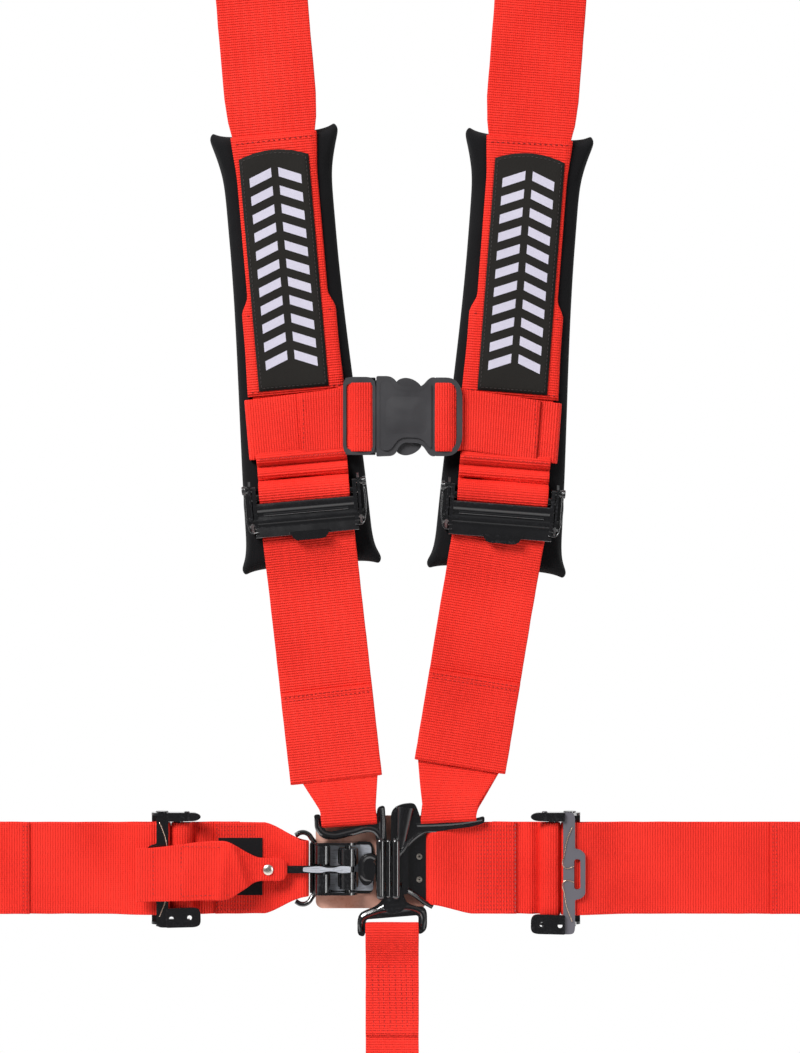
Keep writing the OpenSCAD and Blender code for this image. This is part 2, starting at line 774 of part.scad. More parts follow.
module lap_strap_outer(side) {
  tail_z = lap_fixed(side) - lap_tail;
  bar_z = lap_fixed(side) - lap_span / 2 + anchor_bar;
  fold = 38;
  color(WEB) lap_frame(side) webbing(
    concat(
      [[y_hem, tail_z + fold]],
      arc([(y_lap_front + y_hem) / 2, tail_z], pitch / 2, 180, 360, 8),
      [[y_lap_front, -lap_gap - 50]],
      ease([y_lap_front, -lap_gap - 50], [bar_y - slide_loop, -lap_gap - 6]),
      [[bar_y - slide_loop, -lap_gap - 6]],
      arc([bar_y, slide_travel - lap_gap], slide_loop, 180, 0),
      [[bar_y + slide_loop, -lap_gap - 6], [y_lap, -lap_gap - 30], [y_lap, bar_z + 45]],
      ease([y_lap, bar_z + 45], [lap_plate_y - anchor_loop, bar_z]),
      arc([lap_plate_y, bar_z], anchor_loop, 180, 360),
      ease([lap_plate_y + anchor_loop, bar_z], [y_lap_fold, bar_z + 50]),
      [[y_lap_fold, bar_z + 50], [y_lap_fold, bar_z + 80]]
    ),
    web_w
  );
}
module hook_and_loop_patch() {
  depth = 0.8;
  front = y_lap_front - web_t / 2 - depth;
  color(BLACK) box([-150.5, front, latch_z - 22.5], [-114, front + depth, latch_z + 25]);
}

// Crotch webbing
module crotch_strap() {
  anchor_z = crotch_anchor_z + anchor_bar;
  color(WEB) translate([crotch_x, 0, 0]) webbing(
    concat(
      [[y_lap_front, crotch_front_z], [y_lap_front, crotch_bar_z - 32]],
      ease([y_lap_front, crotch_bar_z - 32], [bar_y - slot_loop, crotch_bar_z]),
      arc([bar_y, crotch_bar_z], slot_loop, 180, 0),
      ease([bar_y + slot_loop, crotch_bar_z], [y_lap, crotch_bar_z - 32]),
      [[y_lap, crotch_bar_z - 32], [y_lap, anchor_z + 40]],
      ease([y_lap, anchor_z + 40], [lap_plate_y - anchor_loop, anchor_z]),
      arc([lap_plate_y, anchor_z], anchor_loop, 180, 360),
      ease([lap_plate_y + anchor_loop, anchor_z], [y_lap_fold, anchor_z + 45]),
      [[y_lap_fold, anchor_z + 45], [y_lap_fold, anchor_z + 75]]
    ),
    crotch_w
  );
}

shoulder_anchor_plate(-1);  // shoulder_anchor_plate_left
shoulder_anchor_plate(1);  // shoulder_anchor_plate_right
shoulder_strap_upper(-1);  // shoulder_strap_upper_left
shoulder_strap_upper(1);  // shoulder_strap_upper_right
shoulder_strap_lower(-1);  // shoulder_strap_lower_left
shoulder_strap_lower(1);  // shoulder_strap_lower_right
shoulder_pad(-1);  // shoulder_pad_left
shoulder_pad(1);  // shoulder_pad_right
pad_sleeve(-1);  // pad_sleeve_left
pad_sleeve(1);  // pad_sleeve_right
pad_label(-1);  // pad_label_left
pad_label(1);  // pad_label_right
color(BLACK) shoulder_frame(-1) adjuster_frame(shoulder_gap);  // shoulder_adjuster_frame_left
color(BLACK) shoulder_frame(1) adjuster_frame(shoulder_gap);  // shoulder_adjuster_frame_right
color(BLACK) shoulder_frame(-1) release_plate(shoulder_gap, -6, false);  // shoulder_release_plate_left
color(BLACK) shoulder_frame(1) release_plate(shoulder_gap, -6, false);  // shoulder_release_plate_right
color(BLACK) shoulder_frame(-1) slide_bar(shoulder_gap);  // shoulder_slide_bar_left
color(BLACK) shoulder_frame(1) slide_bar(shoulder_gap);  // shoulder_slide_bar_right
color(STEEL) shoulder_frame(-1) adjuster_springs(shoulder_gap);  // shoulder_adjuster_springs_left
color(STEEL) shoulder_frame(1) adjuster_springs(shoulder_gap);  // shoulder_adjuster_springs_right
sternum_strap(-1);  // sternum_strap_left
sternum_strap(1);  // sternum_strap_right
sternum_buckle_plug();
sternum_buckle_socket();
sternum_buckle_prong(true);  // sternum_buckle_prong_upper
sternum_buckle_prong(false);  // sternum_buckle_prong_lower
shoulder_tongue(-1);  // shoulder_tongue_left
shoulder_tongue(1);  // shoulder_tongue_right
crotch_tongue();
latch_base();
latch_rollers();
latch_pin(roller_x);  // latch_pin_outer
latch_pin(hub_x);  // latch_pin_lever
latch_lever();
latch_claw();
latch_link();
link_rivets();
latch_backing_pad();
pull_tab();
pull_tab_rivet();
lap_strap_inner(-1);  // lap_strap_inner_left
lap_strap_inner(1);  // lap_strap_inner_right
lap_strap_outer(-1);  // lap_strap_outer_left
lap_strap_outer(1);  // lap_strap_outer_right
hook_and_loop_patch();
color(BLACK) lap_frame(-1) adjuster_frame(lap_gap);  // lap_adjuster_frame_left
color(BLACK) lap_frame(1) adjuster_frame(lap_gap);  // lap_adjuster_frame_right
color(BLACK) lap_frame(-1) release_plate(lap_gap, -9, true);  // lap_release_plate_left
color(BLACK) lap_frame(1) release_plate(lap_gap, -9, true);  // lap_release_plate_right
color(BLACK) lap_frame(-1) slide_bar(lap_gap);  // lap_slide_bar_left
color(BLACK) lap_frame(1) slide_bar(lap_gap);  // lap_slide_bar_right
color(STEEL) lap_frame(-1) adjuster_springs(lap_gap);  // lap_adjuster_springs_left
color(STEEL) lap_frame(1) adjuster_springs(lap_gap);  // lap_adjuster_springs_right
lap_anchor_plate(-1);  // lap_anchor_plate_left
lap_anchor_plate(1);  // lap_anchor_plate_right
crotch_strap();
crotch_anchor_plate();
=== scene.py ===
"""Racing harness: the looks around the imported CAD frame. Metres; local layouts are in millimetres."""
import json
import math
import random

import bmesh
import bpy
from mathutils import Matrix, Vector, noise

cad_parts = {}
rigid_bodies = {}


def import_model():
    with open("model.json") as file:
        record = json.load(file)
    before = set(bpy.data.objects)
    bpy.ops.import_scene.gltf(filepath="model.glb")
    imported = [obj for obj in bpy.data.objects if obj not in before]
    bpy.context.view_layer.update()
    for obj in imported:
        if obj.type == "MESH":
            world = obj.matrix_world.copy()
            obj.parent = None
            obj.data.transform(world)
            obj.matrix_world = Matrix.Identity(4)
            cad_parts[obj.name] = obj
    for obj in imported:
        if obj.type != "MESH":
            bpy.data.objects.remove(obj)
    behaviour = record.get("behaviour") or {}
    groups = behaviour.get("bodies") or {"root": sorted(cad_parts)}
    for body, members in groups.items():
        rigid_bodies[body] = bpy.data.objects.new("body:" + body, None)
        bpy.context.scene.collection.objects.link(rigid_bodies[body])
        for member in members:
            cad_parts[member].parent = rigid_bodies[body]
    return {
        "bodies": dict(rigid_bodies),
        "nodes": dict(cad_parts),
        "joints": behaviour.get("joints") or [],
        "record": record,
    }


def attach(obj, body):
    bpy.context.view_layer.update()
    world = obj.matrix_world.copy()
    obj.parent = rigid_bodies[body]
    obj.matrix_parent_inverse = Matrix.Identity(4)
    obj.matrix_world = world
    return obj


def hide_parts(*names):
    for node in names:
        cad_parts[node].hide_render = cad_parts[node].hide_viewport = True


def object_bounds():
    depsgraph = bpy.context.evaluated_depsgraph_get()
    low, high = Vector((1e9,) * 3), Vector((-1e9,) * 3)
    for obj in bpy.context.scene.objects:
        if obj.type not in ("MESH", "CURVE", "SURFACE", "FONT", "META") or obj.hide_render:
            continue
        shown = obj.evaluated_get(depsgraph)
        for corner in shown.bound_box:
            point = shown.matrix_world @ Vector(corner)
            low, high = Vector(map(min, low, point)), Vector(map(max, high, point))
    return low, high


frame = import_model()
NODES = frame["nodes"]
cad_low, cad_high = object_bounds()
MM = 0.001
UV_NAME = "web"

# ---------------------------------------------------------------- dimensions, as in the CAD model
WEB_W, WEB_T, CROTCH_W, STERNUM_W, BUNCH_W = 76.2, 1.4, 44.0, 50.0, 46.0
ANCHOR_HALF, ANCHOR_BAR, ANCHOR_LOOP = 130.0, 38.0, 4.1
LEAN = {-1: 5.0, 1: 4.4}
LOWER_LEAN = {-1: 6.4, 1: 9.4}
DROP = {-1: 586.5, 1: 589.3}
TAIL = {-1: 217.0, 1: 204.0}
HEM = 75.0
SHOULDER_GAP, LAP_GAP = 20.0, 14.0
FIXED_LOOP, SLIDE_LOOP, SLOT_LOOP = 4.65, 4.9, 4.0
BAR_Y, LINK_Y, LAP_PLATE_Y = -12.0, -8.2, -6.0
LATCH_Z, LATCH_Y = -894.0, -14.2
LAP_FIXED = {-1: 183.0, 1: 126.5}
LAP_BAR = {-1: -80.0, 1: 27.3}
LAP_HALF_SPAN, LAP_TAIL = 456.0, 345.0
TONGUE = {-1: (-42.0, -854.5), 1: (40.0, -852.0)}
TONGUE_TILT = {-1: -4.0, 1: -3.2}
CROTCH_X, CROTCH_BAR_Z, CROTCH_FRONT_Z, CROTCH_ANCHOR_Z = -6.5, -944.5, -1033.0, -1189.0
BUCKLE_Z, BUCKLE_MIDDLE = -521.5, -519.8
BAND_UP = 57.0
BAND_END = {-1: -83, 1: 115}
PIVOT_Y, PIVOT_Z = -17.5, 7.0
RIVET_X = -108.7
TAB_TOP, TAB_SPREAD = -27.0, 1.7
THREAD_LIFT = 0.85
FLOOR_DROP = 0.02  # metres below the lowest point
SLEEVE = (83.0, 300.0)
PAD = (-61.0, 304.0)
# layer depths
Y_BAND_BACK, Y_FOLD, Y_MAIN, Y_BAND, Y_BAND_TOP = -2.55, -4.11, -5.67, -9.97, -11.53
Y_LAP_FOLD, Y_LAP, Y_LAP_FRONT, Y_HEM = -5.15, -6.71, -8.27, -9.83
SIDE = {-1: "left", 1: "right"}


# ---------------------------------------------------------------- local frames
def turn_y(degrees):
    """Rotation about +Y by the right-hand rule."""
    return Matrix.Rotation(math.radians(degrees), 4, "Y")


def on_strap(side, z):
    run = DROP[side] - z
    a = math.radians(LEAN[side])
    return Vector((side * (ANCHOR_HALF - run * math.sin(a)), 0, -run * math.cos(a)))


def shoulder_frame(side):
    return Matrix.Translation(on_strap(side, 0)) @ turn_y(side * LEAN[side])


def lower_frame(side):
    return Matrix.Translation(on_strap(side, -SHOULDER_GAP)) @ turn_y(side * LOWER_LEAN[side])


def tongue_frame(side):
    x, z = TONGUE[side]
    return Matrix.Translation((x, 0, z)) @ turn_y(TONGUE_TILT[side])


def lap_frame(side):
    return Matrix.Translation((side * LAP_FIXED[side], 0, LATCH_Z)) @ turn_y(-side * 90)


def strap_frame(side, z):
    return shoulder_frame(side) @ Matrix.Translation((0, 0, z))


# ---------------------------------------------------------------- curves
def arc(c, r, a0, a1, n=12):
    angles = [math.radians(a0 + (a1 - a0) * i / n) for i in range(n + 1)]
    return [(c[0] + r * math.cos(a), c[1] + r * math.sin(a)) for a in angles]


def ease(a, b, n=10):
    ts = [i / n for i in range(1, n)]
    return [(a[0] + (b[0] - a[0]) * (1 - math.cos(math.pi * t)) / 2, a[1] + (b[1] - a[1]) * t) for t in ts]


def smooth(t):
    t = min(1.0, max(0.0, t))
    return t * t * (3 - 2 * t)


def mix(a, b, t):
    return a + (b - a) * t


def wave(p, seed, scale):
    """Smooth noise from -1 to 1 that gives the same value each run."""
    return noise.noise(Vector(p) * scale + Vector((seed * 7.31, seed * 3.17, seed * 1.73)))


# ---------------------------------------------------------------- materials
class Graph:
    """Short ways to add nodes to one material."""

    def __init__(self, name, rough, metallic=0.0, specular=0.5, coat=0.0, coat_rough=0.1, sheen=0.0):
        self.mat = bpy.data.materials.new(name)
        self.mat.use_nodes = True
        self.nodes, self.links = self.mat.node_tree.nodes, self.mat.node_tree.links
        self.out = self.nodes["Principled BSDF"]
        for socket, x in (("Roughness", rough), ("Metallic", metallic), ("Specular IOR Level", specular),
                          ("Coat Weight", coat), ("Coat Roughness", coat_rough), ("Sheen Weight", sheen)):
            self.out.inputs[socket].default_value = x

    def link(self, a, b):
        self.links.new(a, b)

    def value(self, socket, thing):
        if hasattr(thing, "is_output"):
            self.link(thing, socket)
        else:
            socket.default_value = thing

    def math(self, op, a, b=0.0, clamp=False):
        n = self.nodes.new("ShaderNodeMath")
        n.operation = op
        n.use_clamp = clamp
        for socket, thing in zip(n.inputs, (a, b)):
            self.value(socket, thing)
        return n.outputs[0]

    def weighted(self, *pairs):
        """The sum of each output times its weight."""
        total = None
        for thing, weight in pairs:
            part = self.math("MULTIPLY", thing, weight)
            total = part if total is None else self.math("ADD", total, part)
        return total

    def object_coords(self, scale=(1, 1, 1)):
        t = self.nodes.new("ShaderNodeTexCoord")
        m = self.nodes.new("ShaderNodeMapping")
        m.inputs["Scale"].default_value = scale
        self.link(t.outputs["Object"], m.inputs["Vector"])
        return m.outputs[0]

    def uv(self):
        n = self.nodes.new("ShaderNodeUVMap")
        n.uv_map = UV_NAME
        s = self.nodes.new("ShaderNodeSeparateXYZ")
        self.link(n.outputs[0], s.inputs[0])
        return s.outputs[0], s.outputs[1]

    def noise(self, coords, scale, detail=3.0, rough=0.5):
        n = self.nodes.new("ShaderNodeTexNoise")
        n.inputs["Scale"].default_value = scale
        n.inputs["Detail"].default_value = detail
        n.inputs["Roughness"].default_value = rough
        self.link(coords, n.inputs["Vector"])
        return n.outputs[0]

    def voronoi(self, coords, scale):
        n = self.nodes.new("ShaderNodeTexVoronoi")
        n.inputs["Scale"].default_value = scale
        self.link(coords, n.inputs["Vector"])
        return n.outputs[0]

    def remap(self, x, lo, hi, to_lo=0.0, to_hi=1.0):
        n = self.nodes.new("ShaderNodeMapRange")
        for socket, thing in zip(n.inputs, (x, lo, hi, to_lo, to_hi)):
            self.value(socket, thing)
        return n.outputs[0]

    def colour(self, factor, a, b):
        n = self.nodes.new("ShaderNodeMix")
        n.data_type = "RGBA"
        self.value(n.inputs[0], factor)
        n.inputs[6].default_value, n.inputs[7].default_value = (*a, 1), (*b, 1)
        return n.outputs[2]

    def base(self, thing):
        self.link(thing, self.out.inputs["Base Color"])

    def roughness(self, thing):
        self.link(thing, self.out.inputs["Roughness"])

    def bump(self, height, strength, distance):
        n = self.nodes.new("ShaderNodeBump")
        n.inputs["Strength"].default_value = strength
        n.inputs["Distance"].default_value = distance
        self.link(height, n.inputs["Height"])
        self.link(n.outputs[0], self.out.inputs["Normal"])


def edge_wear(g):
    """0 inside, 1 on sharp convex edges, from the mesh's own pointiness."""
    geo = g.nodes.new("ShaderNodeNewGeometry")
    return g.remap(geo.outputs["Pointiness"], 0.52, 0.6)


def webbing_material(name, lit, dark):
    """Cross ribs and fine lengthwise columns of yarn, spaced in metres along and across the strap, with painted shade
    in the grooves between the ribs.
    """
    rib, column = 0.0021, 0.0016
    g = Graph(name, 0.6, specular=0.12)
    u, v = g.uv()
    ribs = g.math("SINE", g.weighted((u, 2 * math.pi / rib)))
    columns = g.math("SINE", g.weighted((v, 2 * math.pi / column)))
    shifted = g.math("SINE", g.weighted((u, 4 * math.pi / rib), (v, 900)))
    slub = g.noise(g.object_coords(), 900, 2)
    cloud = g.noise(g.object_coords(), 14, 4)
    height = g.weighted((ribs, 0.6), (columns, 0.18), (shifted, 0.12), (slub, 0.5))
    # painted shade: the grooves between the ribs take the darker colour; slub and cloud add random tone on top
    groove_shade = g.remap(ribs, -1.0, 0.1)
    tone = g.math("MULTIPLY", g.remap(groove_shade, 0, 1, 0.45, 1.0), g.weighted((slub, 0.7), (cloud, 0.9)), clamp=True)
    g.base(g.colour(tone, dark, lit))
    g.roughness(g.remap(slub, 0.3, 0.7, 0.5, 0.7))
    g.bump(height, 0.8, 0.0005)
    return g.mat


def knit_material(name, lit, dark, scale=1300, sheen=0.35):
    g = Graph(name, 0.85, specular=0.08, sheen=sheen)
    where = g.object_coords()
    knit = g.voronoi(where, scale)
    fuzz = g.noise(where, scale * 0.6, 4)
    cloud = g.noise(where, 22, 4, 0.6)
    height = g.weighted((knit, 0.8), (fuzz, 0.6))
    g.base(g.colour(g.weighted((fuzz, 0.5), (cloud, 0.5)), dark, lit))
    g.roughness(g.remap(fuzz, 0.3, 0.7, 0.75, 0.95))
    g.bump(height, 0.6, 0.0004)
    return g.mat


def gloss_black_material():
    g = Graph("gloss_black", 0.2, specular=0.85, coat=0.8, coat_rough=0.09)
    where = g.object_coords()
    orange_peel = g.noise(where, 90, 2)
    smudge = g.noise(where, 60, 4, 0.6)
    wear = g.math("MULTIPLY", edge_wear(g), g.remap(g.noise(where, 480, 3), 0.5, 0.7))
    g.base(g.colour(g.weighted((wear, 0.5)), (0.004, 0.004, 0.005), (0.05, 0.05, 0.055)))
    g.roughness(g.remap(smudge, 0.3, 0.75, 0.13, 0.22))
    g.bump(orange_peel, 0.02, 0.0003)
    return g.mat


def plastic_material(name, dark, lit):
    g = Graph(name, 0.38, specular=0.75)
    where = g.object_coords()
    grain = g.noise(where, 1500, 2)
    mottle = g.noise(where, 40, 3)
    g.base(g.colour(mottle, dark, lit))
    g.roughness(g.remap(mottle, 0.3, 0.7, 0.33, 0.42))
    g.bump(grain, 0.25, 0.00015)
    return g.mat


def metal_material(name, lit, dark, rough=0.28, scale=420, metallic=1.0):
    g = Graph(name, rough, metallic=metallic)
    where = g.object_coords()
    streak = g.noise(g.object_coords((1, 1, 9)), scale, 3)
    patch = g.noise(where, 90, 3)
    g.base(g.colour(g.weighted((streak, 0.5), (patch, 0.5)), dark, lit))
    g.roughness(g.remap(streak, 0.3, 0.7, rough - 0.08, rough + 0.12))
    g.bump(streak, 0.15, 0.0002)
    return g.mat


def leather_material():
    g = Graph("tan_leather", 0.32, specular=0.6, coat=0.25, coat_rough=0.25)
    where = g.object_coords()
    pores = g.voronoi(where, 900)
    grain = g.noise(where, 260, 5, 0.6)
    shade = g.noise(where, 26, 4)
    g.base(g.colour(g.remap(shade, 0.35, 0.65), (0.44, 0.17, 0.11), (0.74, 0.42, 0.33)))
    g.roughness(g.remap(grain, 0.3, 0.7, 0.22, 0.42))
    g.bump(g.weighted((grain, 1.0), (pores, 0.5)), 0.25, 0.0004)
    return g.mat


def thread_material(name, lit, dark):
    g = Graph(name, 0.6, specular=0.3, sheen=0.1)
    where = g.object_coords()
    twist = g.noise(where, 2500, 2)
    g.base(g.colour(twist, dark, lit))
    g.roughness(g.remap(twist, 0.3, 0.7, 0.5, 0.7))
    g.bump(twist, 0.4, 0.0002)
    return g.mat


# the darker red is the painted shade of the rib grooves as well as the random darker yarn
WEB = webbing_material("red_webbing", (0.97, 0.040, 0.025), (0.46, 0.007, 0.004))
PAD_CLOTH = knit_material("black_pad_cloth", (0.010, 0.010, 0.011), (0.003, 0.003, 0.0035), sheen=0.06)
LABEL = knit_material("label_cloth", (0.026, 0.024, 0.022), (0.012, 0.011, 0.010), 1700, 0.0)
PRINT = knit_material("label_print", (0.66, 0.63, 0.73), (0.46, 0.44, 0.54), 1700, 0.0)
PILE = knit_material("loop_pile", (0.012, 0.012, 0.013), (0.004, 0.004, 0.005), 700, 0.1)
BLACK = gloss_black_material()
PLASTIC = plastic_material("satin_plastic", (0.028, 0.027, 0.030), (0.048, 0.047, 0.051))
BRIGHT = metal_material("bright_steel", (0.92, 0.86, 0.78), (0.60, 0.54, 0.47))
WIRE = metal_material("spring_wire", (0.78, 0.60, 0.48), (0.50, 0.36, 0.28), 0.25)
# painted reflection: the right lap release plate is black steel, given this grey base colour for the reflection on its
# face
GREY_PAINTED_REFLECTION = plastic_material("black_steel_painted_grey_reflection", (0.105, 0.10, 0.118), (0.125, 0.12, 0.138))
# painted reflection: a pale base colour standing in for the surroundings mirrored in the latch's steel plate
PALE_PAINTED_REFLECTION = metal_material("steel_with_painted_pale_reflection", (0.66, 0.68, 0.74), (0.42, 0.44, 0.49), 0.3, 160, 0.35)
ZINC = metal_material("zinc_steel", (0.70, 0.71, 0.73), (0.48, 0.49, 0.52), 0.34, 240)
LEATHER = leather_material()
RED_THREAD = thread_material("red_thread", (0.42, 0.010, 0.008), (0.16, 0.004, 0.004))
GREY_THREAD = thread_material("grey_thread", (0.30, 0.20, 0.22), (0.12, 0.08, 0.09))
BLACK_THREAD = thread_material("black_thread", (0.06, 0.05, 0.05), (0.015, 0.012, 0.012))


# ---------------------------------------------------------------- mesh helpers
def add_object(name, verts, faces, material, body, smooth_faces=True):
    """A mesh piece from points in millimetres, riding on a body."""
    mesh = bpy.data.meshes.new(name)
    mesh.from_pydata([tuple(Vector(v) * MM) for v in verts], [], faces)
    mesh.update()
    bm = bmesh.new()
    bm.from_mesh(mesh)
    bmesh.ops.recalc_face_normals(bm, faces=bm.faces)
    bm.to_mesh(mesh)
    bm.free()
    return enter(name, mesh, material, body, smooth_faces)


def enter(name, mesh, material, body, smooth_faces=True):
    """Put a mesh into the scene with its material, riding on a body."""
    for p in mesh.polygons:
        p.use_smooth = smooth_faces
    obj = bpy.data.objects.new(name, mesh)
    bpy.context.scene.collection.objects.link(obj)
    mesh.materials.append(material)
    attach(obj, body)
    return obj


def lay_uv(obj, uvs):
    """One place on the webbing, in metres, for each point of the mesh."""
    layer = obj.data.uv_layers.new(name=UV_NAME)
    for loop in obj.data.loops:
        layer.data[loop.index].uv = uvs[loop.vertex_index]


def shell_faces(rows, columns):
    """Faces of a front and a back grid of (rows + 1) by (columns + 1) points, closed round the rim."""
    wide, count = columns + 1, (columns + 1) * (rows + 1)
    faces = []
    for i in range(rows):
        for k in range(columns):
            a = i * wide + k
            b = count + a
            faces.append((a, a + 1, a + 1 + wide, a + wide))
            faces.append((b, b + wide, b + 1 + wide, b + 1))
    rim = [*range(columns), *(i * wide + columns for i in range(rows))]
    rim += [*(rows * wide + k for k in range(columns, 0, -1)), *(i * wide for i in range(rows, 0, -1))]
    for a, b in zip(rim, rim[1:] + rim[:1]):
        faces.append((a, b, count + b, count + a))
    return faces


def tube_faces(rows, ring):
    """Faces along a row of rings, with both ends closed."""
    faces = []
    for i in range(rows):
        for k in range(ring):
            a, b = i * ring + k, i * ring + (k + 1) % ring
            faces.append((a, b, b + ring, a + ring))
    faces.append(tuple(range(ring - 1, -1, -1)))
    faces.append(tuple(rows * ring + k for k in range(ring)))
    return faces


def lay(matrix, points, half=WEB_W / 2, shift=0.0):
    """Stations of a strap: centre, the direction across it, and its half width on either side."""
    across = (matrix.to_3x3() @ Vector((1, 0, 0))).normalized()
    return [(matrix @ Vector((shift, y, z)), across, half, half) for y, z in points]


def resample(rows, step=3.0):
    """Even steps along the strap, with the straight stretches filled in."""
    out = [rows[0]]
    for a, b in zip(rows, rows[1:]):
        n = max(1, int((b[0] - a[0]).length / step))
        for i in range(1, n + 1):
            t = i / n
            out.append((a[0].lerp(b[0], t), a[1].lerp(b[1], t).normalized(), mix(a[2], b[2], t), mix(a[3], b[3], t)))
    return out


COLUMNS = [-1, -0.985, -0.95, -0.86, -0.7, -0.5, -0.28, -0.09, 0.09, 0.28, 0.5, 0.7, 0.86, 0.95, 0.985, 1]


def selvedge(v):
    """How thick the webbing is at v across it: full inside, rounded at its edges."""
    return 0.35 + 0.65 * math.sqrt(max(0.0, 1 - abs(v) ** 22))


def strap(name, rows, body, node, seed, thickness=WEB_T, ripple=0.22, relief=None):
    """Webbing as one closed mesh. relief(s, v, total) moves it along its normal, in millimetres."""
    rows = resample(rows)
    total = sum((b[0] - a[0]).length for a, b in zip(rows, rows[1:]))
    verts, uvs, s = [], [], 0.0
    for i, (centre, across, left, right) in enumerate(rows):
        before, after = rows[max(0, i - 1)][0], rows[min(len(rows) - 1, i + 1)][0]
        if i:
            s += (centre - rows[i - 1][0]).length
        normal = across.cross(after - before).normalized()
        for face in (1, -1):
            for v in COLUMNS if face > 0 else COLUMNS[::-1]:
                reach = v * (right if v > 0 else left) + 0.25 * abs(v) * wave((s, v * 5, 0), seed, 0.06)
                lift = ripple * wave((s, v * 30, 3), seed, 0.035)
                if relief:
                    lift += relief(s, v, total)
                p = centre + across * reach + normal * (lift + face * thickness / 2 * selvedge(v))
                verts.append(p)
                uvs.append((s * MM, reach * MM + (0.2 if face < 0 else 0)))
    obj = add_object(name, verts, tube_faces(len(rows) - 1, 2 * len(COLUMNS)), WEB, body)
    lay_uv(obj, uvs)
    for p in obj.data.polygons:
        p.use_smooth = len(p.vertices) == 4
    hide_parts(node)


def stitches(name, runs, body, material, length=2.6, gap=1.3, width=0.5, lift=0.0, slant=0.0):
    """Rows of sewn thread: each run is a list of points, laid with short rounded dashes."""
    verts, faces = [], []
    section = ((-0.5, 0.15, 0.0), (-0.3, 0.9, 0.8), (0.0, 1.0, 1.0), (0.3, 0.9, 0.8), (0.5, 0.15, 0.0))
    rng = random.Random(len(name) * 31 + len(runs))
    for run in runs:
        points = [Vector(p) for p in run]
        for a, b in zip(points, points[1:]):
            along = (b - a)
            span = along.length
            along.normalize()
            side = along.cross(Vector((0, -1, 0))).normalized()
            n = max(1, int(span / (length + gap)))
            for i in range(n):
                c = a + along * span * (i + 0.5) / n + Vector((0, -lift, 0))
                d = (along + side * slant * (1 if i % 2 else -1) + side * rng.uniform(-0.08, 0.08)).normalized()
                s = d.cross(Vector((0, -1, 0))).normalized()
                base = len(verts)
                for t, w, h in section:
                    m = c + d * length * t
                    verts += [m - s * width * w / 2, m + Vector((0, -width * 0.55 * h, 0)), m + s * width * w / 2,
                              m + Vector((0, width * 0.4 * h, 0))]
                for k in range(4):
                    for q in range(4):
                        a0, b0 = base + 4 * k + q, base + 4 * k + (q + 1) % 4
                        faces.append((a0, b0, b0 + 4, a0 + 4))
                faces.append((base + 3, base + 2, base + 1, base))
                faces.append((base + 16, base + 17, base + 18, base + 19))
    return add_object(name, verts, faces, material, body)


def in_frame(matrix, points):
    return [matrix @ Vector(p) for p in points]


# ---------------------------------------------------------------- camera, lights and floor
def build_camera():
    """Square on to the middle of the stretch that shows, with a long lens."""
    focal, sensor, view_height = 100.0, 36.0, 874.0
    centre = Vector((0.0, -6.0, -611.0))
    distance = view_height * focal / sensor
    data = bpy.data.cameras.new("camera")
    data.lens = focal
    data.sensor_fit = "VERTICAL"
    data.sensor_width = data.sensor_height = sensor
    cam = bpy.data.objects.new("camera", data)
    cam.location = (centre + Vector((0, -distance, 0))) * MM
    cam.rotation_euler = (math.pi / 2, 0, 0)
    bpy.context.scene.collection.objects.link(cam)
    bpy.context.scene.camera = cam


def area_light(name, place, aim, size, power):
    data = bpy.data.lights.new(name, "AREA")
    data.shape = "RECTANGLE"
    data.size, data.size_y = size
    data.energy = power
    obj = bpy.data.objects.new(name, data)
    obj.location = place
    obj.rotation_euler = (Vector(aim) - Vector(place)).to_track_quat("-Z", "Y").to_euler()
    bpy.context.scene.collection.objects.link(obj)


def build_stage():
    """A pale floor that fades out before its edge, a studio world, and a key and a fill light."""
    low = cad_low[2] - FLOOR_DROP
    bpy.ops.mesh.primitive_grid_add(x_subdivisions=4, y_subdivisions=4, size=1, location=(0, 0, low))
    floor = bpy.context.object
    floor.name = "floor"
    floor.scale = (3.2, 1.7, 1)
    g = Graph("floor_white", 0.7)
    where = g.object_coords()
    g.base(g.colour(g.noise(where, 3), (0.86, 0.86, 0.86), (0.9, 0.9, 0.9)))
    reach = g.nodes.new("ShaderNodeVectorMath")
    reach.operation = "LENGTH"
    g.link(where, reach.inputs[0])
    g.link(g.remap(reach.outputs["Value"], 0.2, 0.5, 1.0, 0.0), g.out.inputs["Alpha"])
    floor.data.materials.append(g.mat)
    scene = bpy.context.scene
    scene.world = studio_world()
    scene.view_settings.view_transform = "Standard"
    area_light("key", (-2.3, -2.5, 1.9), (0, 0, -0.6), (2.2, 1.4), 250)
    area_light("fill", (2.2, -1.8, -0.5), (0, 0, -0.6), (0.8, 2.0), 26)


def studio_world():
    """White behind the object, a softer grey in front of it, so that gloss and folds show."""
    world = bpy.data.worlds.new("studio")
    world.use_nodes = True
    nodes, links = world.node_tree.nodes, world.node_tree.links
    coords = nodes.new("ShaderNodeTexCoord")
    split = nodes.new("ShaderNodeSeparateXYZ")
    depth = nodes.new("ShaderNodeMapRange")
    for socket, x in (("From Min", -0.7), ("From Max", 0.7), ("To Min", 0.1), ("To Max", 1.0)):
        depth.inputs[socket].default_value = x
    links.new(coords.outputs["Generated"], split.inputs[0])
    links.new(split.outputs[1], depth.inputs["Value"])
    links.new(depth.outputs[0], nodes["Background"].inputs["Strength"])
    nodes["Background"].inputs["Color"].default_value = (1, 1, 1, 1)
    return world


